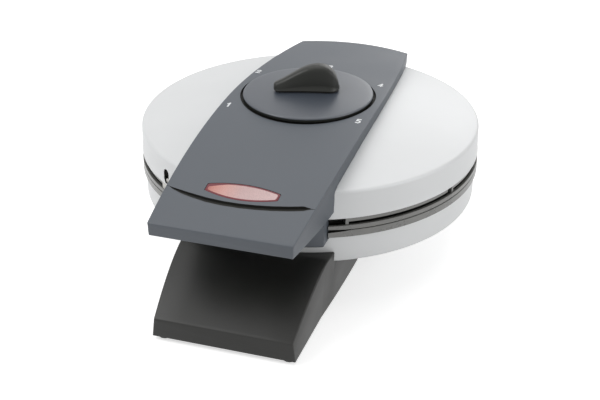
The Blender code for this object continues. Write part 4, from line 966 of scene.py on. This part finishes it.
def knob_section(u, half, band, high):
    """A thin lip at the foot, sides that lean in, a soft crest line and a crowned band on top."""
    foot = dial_height(math.hypot(u, half)) + KNOB_LIFT
    shoulder = foot + KNOB_LIP_TOP
    crest = high - min(1.5, (high - foot) * 0.3)
    lip = KNOB_LIP * min(1.0, half / 2.0)
    out = half + lip
    side = [(half - 0.3 * lip, foot), (out, foot + 0.12), (out, foot + 0.45), (half, shoulder)]
    for share in (0.25, 0.5, 0.75, 0.9, 1.0):
        side.append((half + (band - half) * share ** 1.5, shoulder + (crest - shoulder) * share))
    for share in (0.2, 0.45, 0.7):
        side.append((band * (1 - share * 0.5), crest + (high - crest) * math.sin(share * math.pi / 2)))
    return side + [(0.0, high)] + [(-v, z) for v, z in side[::-1]]


def dial_knob():
    rings = []
    for u in knob_places(0.0, 40):
        half = max(0.15, knob_half(u))
        band = min(half * 0.86, 3.1 + 2.1 * (20.0 - u) / 30.0)
        rings.append(knob_ring(u, knob_section(u, half, band, follow(KNOB_PROFILE, u))))
    settle(lofted("knob", rings, "knob", 60), "dial", "knob_plastic", "dial_knob")


def dial_foot():
    """The knob's foot, a little narrower than the knob and in the shade of its lower edge; its near-black
    colour is painted shade.
    """
    rings = []
    for u in knob_places(KNOB_FOOT_INSET, 20):
        half = max(0.1, knob_half(u, KNOB_FOOT_INSET))
        low = dial_height(math.hypot(u, half)) - 0.1
        high = low + KNOB_LIFT + 0.4
        rings.append(knob_ring(u, [(-half, low), (half, low), (half, high), (-half, high)]))
    foot = lofted("knob_foot", rings, "shade")
    carve(foot, upright("shaft_room", circle((0, DIAL_Y), SHAFT_HOLE), 40, 50))
    settle(foot, "dial", "knob_plastic")


# Numbers round the dial: each is one line in a unit square, drawn with a square pen

DIGITS = {
    "1": [(0.25, 0.72), (0.58, 1.0), (0.58, 0.0)],
    "2": [(0.15, 0.75), (0.3, 0.95), (0.55, 1.0), (0.78, 0.9), (0.82, 0.68), (0.15, 0.0), (0.88, 0.0)],
    "3": [(0.15, 0.9), (0.5, 1.0), (0.8, 0.85), (0.78, 0.62), (0.45, 0.53), (0.8, 0.42), (0.82, 0.15),
          (0.5, 0.0), (0.12, 0.1)],
    "4": [(0.66, 0.0), (0.66, 1.0), (0.1, 0.3), (0.92, 0.3)],
    "5": [(0.82, 1.0), (0.25, 1.0), (0.2, 0.55), (0.5, 0.62), (0.8, 0.5), (0.85, 0.22), (0.6, 0.0),
          (0.15, 0.08)],
}
DIGIT_PLACES = {"1": (-43.3, -34.8), "2": (-44.4, 24.3), "3": (-2.0, 50.7), "4": (39.9, 27.2),
                "5": (41.9, -33.4)}
DIGIT_WIDTH = 3.2
DIGIT_HEIGHT = 4.8
PEN_HALF = 0.5
INK_HALF = 0.05


def dial_numbers():
    bm = bmesh.new()
    for digit, (x, y) in DIGIT_PLACES.items():
        points = [Vector((x + (u - 0.5) * DIGIT_WIDTH, y + (v - 0.5) * DIGIT_HEIGHT))
                  for u, v in DIGITS[digit]]
        for start, end in zip(points, points[1:]):
            draw_line(bm, start, end)
    settle(piece_from("dial_numbers", bm, "ink"), "lid", "dark_plastic")


def draw_line(bm, start, end):
    along = (end - start).normalized() * PEN_HALF
    across = Vector((-along.y, along.x))
    corners = (start - along - across, end + along - across, end + along + across, start - along + across)
    loft(bm, [[(corner.x, corner.y, strap_height(corner.x, corner.y) + lift) for corner in corners]
              for lift in (-INK_HALF, INK_HALF)])


# Stand

def stand_half(y):
    if y < STAND_WIDEST_Y:
        return STAND_HALF - fall(y, STAND_WIDEST_Y, STAND_FRONT, STAND_FRONT_TAPER)
    return STAND_HALF - fall(y, STAND_WIDEST_Y, STAND_REAR, STAND_REAR_TAPER)


def stand_foot_half(y):
    """Half the width at the bottom: the sides lean inwards, but not past the front leg's own width."""
    leaning = stand_half(y) - STAND_LEAN
    return max(leaning, STAND_LEG_HALF) if y < STAND_WIDEST_Y else leaning


def stand_top(y):
    if y < STAND_NECK_Y:
        return STAND_NECK - fall(y, STAND_NECK_Y, STAND_FRONT, STAND_NECK - STAND_TOE, 1.5)
    return STAND_NECK


def stand_ring(y, top, inset=0.0):
    half = stand_half(y) - inset
    foot = stand_foot_half(y) - inset
    top -= inset
    side = [(foot, STAND_LOW + inset), (foot + (half - foot) * 0.5, (STAND_LOW + top) / 2)]
    side += arc((half - STAND_EDGE, top - STAND_EDGE), STAND_EDGE, 0, 90, 4)
    ring = [(x, y, z) for x, z in side]
    ring += [((half - STAND_EDGE) * share, y, top) for share in (0.6, 0.2, -0.2, -0.6)]
    return ring + [(-x, y, z) for x, z in side[::-1]]


def base_room():
    """The round space that the base shell and the lower rim fill in the stand."""
    profile = [(0, BASE_CREST - FIT)]
    profile += [(r, base_height(r) - FIT) for r in spread(12, BASE_DOME_EDGE, 18)]
    profile += arc((BASE_DOME_EDGE, BASE_SHOULDER), BASE_SHOULDER_RADIUS + FIT, -68, 0, 6)
    rim = SHELL_RADIUS + 0.4
    profile += [(108.6 + FIT, BASE_EDGE), (rim, BASE_EDGE), (rim, 20.0), (0, 20.0)]
    return turned("base_room", profile)


def stand_hollow():
    rings = []
    for y in spread(STAND_FRONT + STAND_WALL, STAND_REAR - STAND_WALL, 40):
        shell = base_height(min(abs(y), BASE_DOME_EDGE)) - PLAY
        roof = min(stand_top(y - STAND_WALL), STAND_DECK, shell) - STAND_WALL
        foot = stand_foot_half(y) - STAND_WALL
        rings.append(trapezium(y, foot, STAND_LOW - 4, stand_half(y) - STAND_WALL, roof))
    return lofted("stand_hollow", rings)


def base_stand():
    rings = []
    for along, inset in end_steps():
        rings.append(stand_ring(STAND_FRONT + along, stand_top(STAND_FRONT + along), inset))
    for y in spread(STAND_FRONT + END_RADIUS, STAND_NECK_Y, 60):
        rings.append(stand_ring(y, stand_top(y)))
    shoulder = -math.sqrt(SHELL_RADIUS ** 2 - STAND_HALF ** 2) + STAND_WALL
    rings.append(stand_ring(shoulder, STAND_NECK))
    for y in spread(shoulder + STAND_WALL, STAND_REAR - END_RADIUS, 50):
        rings.append(stand_ring(y, STAND_DECK))
    rings += [stand_ring(STAND_REAR - along, STAND_DECK, inset) for along, inset in end_steps()[::-1]]
    stand = lofted("stand", rings, "stand")
    carve(stand, base_room())
    carve(stand, stand_hollow())
    carve(stand, bar_along_y("gland_hole", GLAND_HOLE, "stand"))
    settle(stand, "base", "dark_plastic", "base_stand")


# Cord bush in the stand's rear wall, as (y, radius): a flange inside, a neck and a flared mouth
GLAND_HEIGHT = -38.35
GLAND_HOLE = ((118.0, 6.8), (126.0, 6.8))
BUSH_OUTLINE = ((119.1, 7.6), (119.35, 8.0), (120.65, 8.0), (120.9, 7.75), (120.95, 6.5), (122.3, 6.5),
                (122.8, 6.25), (123.0, 5.8))
BUSH_BORE = ((118.0, 4.3), (119.1, 4.3), (119.6, 3.6), (121.8, 3.6), (122.5, 3.9), (123.0, 4.7),
             (124.0, 5.4))


def bar_along_y(name, stations, key):
    """A round bar along Y at the height of the cord bush."""
    rings = [[(x, y, z) for x, z in circle((0, GLAND_HEIGHT), radius)] for y, radius in stations]
    return lofted(name, rings, key, 40)


def cord_bush():
    bush = bar_along_y("bush", BUSH_OUTLINE, "rubber")
    carve(bush, bar_along_y("bore", BUSH_BORE, "rubber"), angle=40)
    settle(bush, "base", "rubber", "cord_gland")


# Screws, feet and hinge

SCREW_SHANK = 1.5
SCREW_THREADS = 8
RECESS_LONG = 1.7
RECESS_SHORT = 0.42
HINGE_EDGE = 0.7


def round_seat(node):
    """Centre, radius, lowest and highest height of a round upright node."""
    low, high = ((Vector(corner) - MACHINE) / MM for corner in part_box(node))
    return ((low.x + high.x) / 2, (low.y + high.y) / 2), (high.x - low.x) / 2, low.z, high.z


def cross_screw(node):
    """A pan-head screw, head down, with a cross recess and a threaded shank."""
    centre, head, low, high = round_seat(node)
    profile = [(0, low), (head * 0.6, low), (head * 0.9, low + 0.35), (head, low + 0.9), (head, low + 1.75),
               (SCREW_SHANK, low + 1.8)]
    for z in spread(low + 2.3, high - 1.4, SCREW_THREADS):
        profile += [(SCREW_SHANK, z), (SCREW_SHANK * 0.84, z + 0.3), (SCREW_SHANK, z + 0.55)]
    profile += [(SCREW_SHANK * 0.4, high), (0, high)]
    piece = turned(node + "_cross", profile, "steel", 30, centre, 32, 0.0)
    for across, along in ((RECESS_LONG, RECESS_SHORT), (RECESS_SHORT, RECESS_LONG)):
        bar = [(centre[0] + x * across, centre[1] + y * along) for x, y in SQUARE]
        carve(piece, upright("recess", bar, low - 1.0, low + 1.0, "steel"), angle=30)
    settle(piece, "base", "bright_steel", node)


def foot_pad(node):
    """A rubber foot with a soft rim and a shallow dish under it."""
    centre, reach, low, high = round_seat(node)
    profile = [(0, low + 0.3), (reach * 0.6, low + 0.25), (reach * 0.72, low)]
    profile += arc((reach - 0.7, low + 0.7), 0.7, -90, 0, 5)
    profile += [(reach, high), (0, high)]
    settle(turned(node + "_pad", profile, "rubber", 40, centre, 48, 0.0), "base", "rubber", node)


def rounded_copy(node, body):
    """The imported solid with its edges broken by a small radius."""
    bm = bmesh.new()
    bm.from_mesh(bpy.data.objects[node].data)
    bmesh.ops.remove_doubles(bm, verts=bm.verts, dist=0.01 * MM)
    bmesh.ops.dissolve_limit(bm, angle_limit=math.radians(1), verts=bm.verts, edges=bm.edges)
    piece = piece_from(node + "_rounded", bm, "stand")
    change = piece.modifiers.new("round", "BEVEL")
    change.width = HINGE_EDGE * MM
    change.segments = 2
    change.limit_method = "ANGLE"
    change.angle_limit = math.radians(40)
    bake(piece)
    smooth(piece, 30)
    settle(piece, body, "dark_plastic", node)


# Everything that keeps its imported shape

CARRIED = {
    "lower_heating_element": "sheath", "upper_heating_element": "sheath",
    "lower_reflector": "reflector", "upper_reflector": "reflector",
    "thermal_fuse": "ceramic", "terminal_block": "ceramic", "thermostat_body": "ceramic",
    "lamp_holder": "ceramic", "indicator_lamp": "ceramic",
    "strap_screw_left": "steel", "strap_screw_right": "steel",
    "dial_shaft": "steel", "hinge_pin": "steel", "bottom_cover": "stand",
}


def dress_carried():
    for node, key in CARRIED.items():
        for slot in bpy.data.objects[node].material_slots:
            slot.material = MATERIALS[key]


# Stage, light and camera

FLOOR_HALF = 3.0
FLOOR_COLOUR = (0.80, 0.80, 0.80, 1.0)
FLOOR_GLOW = 0.62
WORLD_LEVEL = 0.32
LAMPS = (
    ("overhead", (0.0, 0.25, 1.1), (0.0, 0.0, 0.05), (1.2, 0.9), 3.7),
    ("left", (-0.80, -0.55, 1.0), (0.0, 0.0, 0.05), (0.8, 0.8), 7.4),
    ("right", (1.25, -0.20, 0.5), (0.0, 0.0, 0.05), (0.8, 0.8), 4.4),
    ("rear", (0.10, 1.25, 0.60), (0.0, 0.0, 0.08), (0.7, 0.4), 2.3),
)
CAMERA_PLACE = (0.23308, -0.70755, 0.42356)
CAMERA_TURN = (61.98, 0.0, 18.27)
CAMERA_LENS = 76.62


def background_share(tree):
    """1 for the rays that should meet the plain white background, 0 for those that light the object."""
    path = add_node(tree, "LightPath")
    total = path.outputs["Is Camera Ray"]
    for ray in ("Is Glossy Ray", "Is Transmission Ray"):
        either = add_node(tree, "Math")
        either.operation = "MAXIMUM"
        tree.links.new(total, either.inputs[0])
        tree.links.new(path.outputs[ray], either.inputs[1])
        total = either.outputs["Value"]
    return total


def make_floor():
    """A pale floor that takes the object's shadow and glows a little where the background is seen."""
    mesh = bpy.data.meshes.new("floor")
    mesh.from_pydata([(x * FLOOR_HALF, y * FLOOR_HALF, 0) for x, y in SQUARE], [], [(0, 1, 2, 3)])
    floor = link("floor", mesh)
    material = bpy.data.materials.new("pale_floor")
    material.use_nodes = True
    tree = material.node_tree
    tree.nodes.remove(tree.nodes["Principled BSDF"])
    matt = add_node(tree, "BsdfDiffuse", Color=FLOOR_COLOUR)
    glow = add_node(tree, "Emission")
    level = add_node(tree, "Math")
    level.operation = "MULTIPLY"
    level.inputs[1].default_value = FLOOR_GLOW
    tree.links.new(background_share(tree), level.inputs[0])
    join(level, "Value", glow, "Strength")
    both = add_node(tree, "AddShader")
    join(matt, "BSDF", both, 0)
    join(glow, "Emission", both, 1)
    join(both, "Shader", tree.nodes["Material Output"], "Surface")
    mesh.materials.append(material)


def make_world():
    studio = bpy.data.worlds.new("studio")
    bpy.context.scene.world = studio
    studio.use_nodes = True
    tree = studio.node_tree
    background = tree.nodes["Background"]
    background.inputs["Color"].default_value = (1.0, 1.0, 1.0, 1.0)
    level = add_node(tree, "MapRange", To_Min=WORLD_LEVEL, To_Max=1.0)
    tree.links.new(background_share(tree), level.inputs["Value"])
    join(level, "Result", background, "Strength")


def make_lamp(name, place, target, size, power):
    lamp_data = bpy.data.lights.new(name, "AREA")
    lamp_data.shape = "RECTANGLE"
    lamp_data.size, lamp_data.size_y = size
    lamp_data.energy = power
    lamp = link(name, lamp_data)
    lamp.location = place
    lamp.rotation_euler = (Vector(target) - Vector(place)).to_track_quat("-Z", "Y").to_euler()


def make_camera():
    camera_data = bpy.data.cameras.new("camera")
    camera_data.sensor_width = 36.0
    camera_data.lens = CAMERA_LENS
    camera = link("camera", camera_data)
    camera.location = CAMERA_PLACE
    camera.rotation_euler = [math.radians(angle) for angle in CAMERA_TURN]
    bpy.context.scene.camera = camera


bpy.context.scene.view_settings.view_transform = "Standard"
make_floor()
make_world()
make_camera()
for lamp_row in LAMPS:
    make_lamp(*lamp_row)

handle_strap()
lid_shell()
slot_insides()
base_shell()
baking_plate("upper_casting", 1, UPPER_RIM, UPPER_BODY, "upper_plate", "lid")
baking_plate("lower_casting", -1, LOWER_RIM, LOWER_BODY, "lower_plate", "base")
side_ring()
rim_posts()
grip_underside()
indicator_lens()
dial_disc()
dial_knob()
dial_foot()
dial_numbers()
base_stand()
cord_bush()
for end in ("front_left", "front_right", "rear_left", "rear_right"):
    foot_pad("foot_" + end)
    cross_screw("cover_screw_" + end)
for number in range(1, 5):
    cross_screw("base_screw_" + str(number))
rounded_copy("hinge_bracket", "base")
rounded_copy("lid_hinge", "lid")
dress_carried()
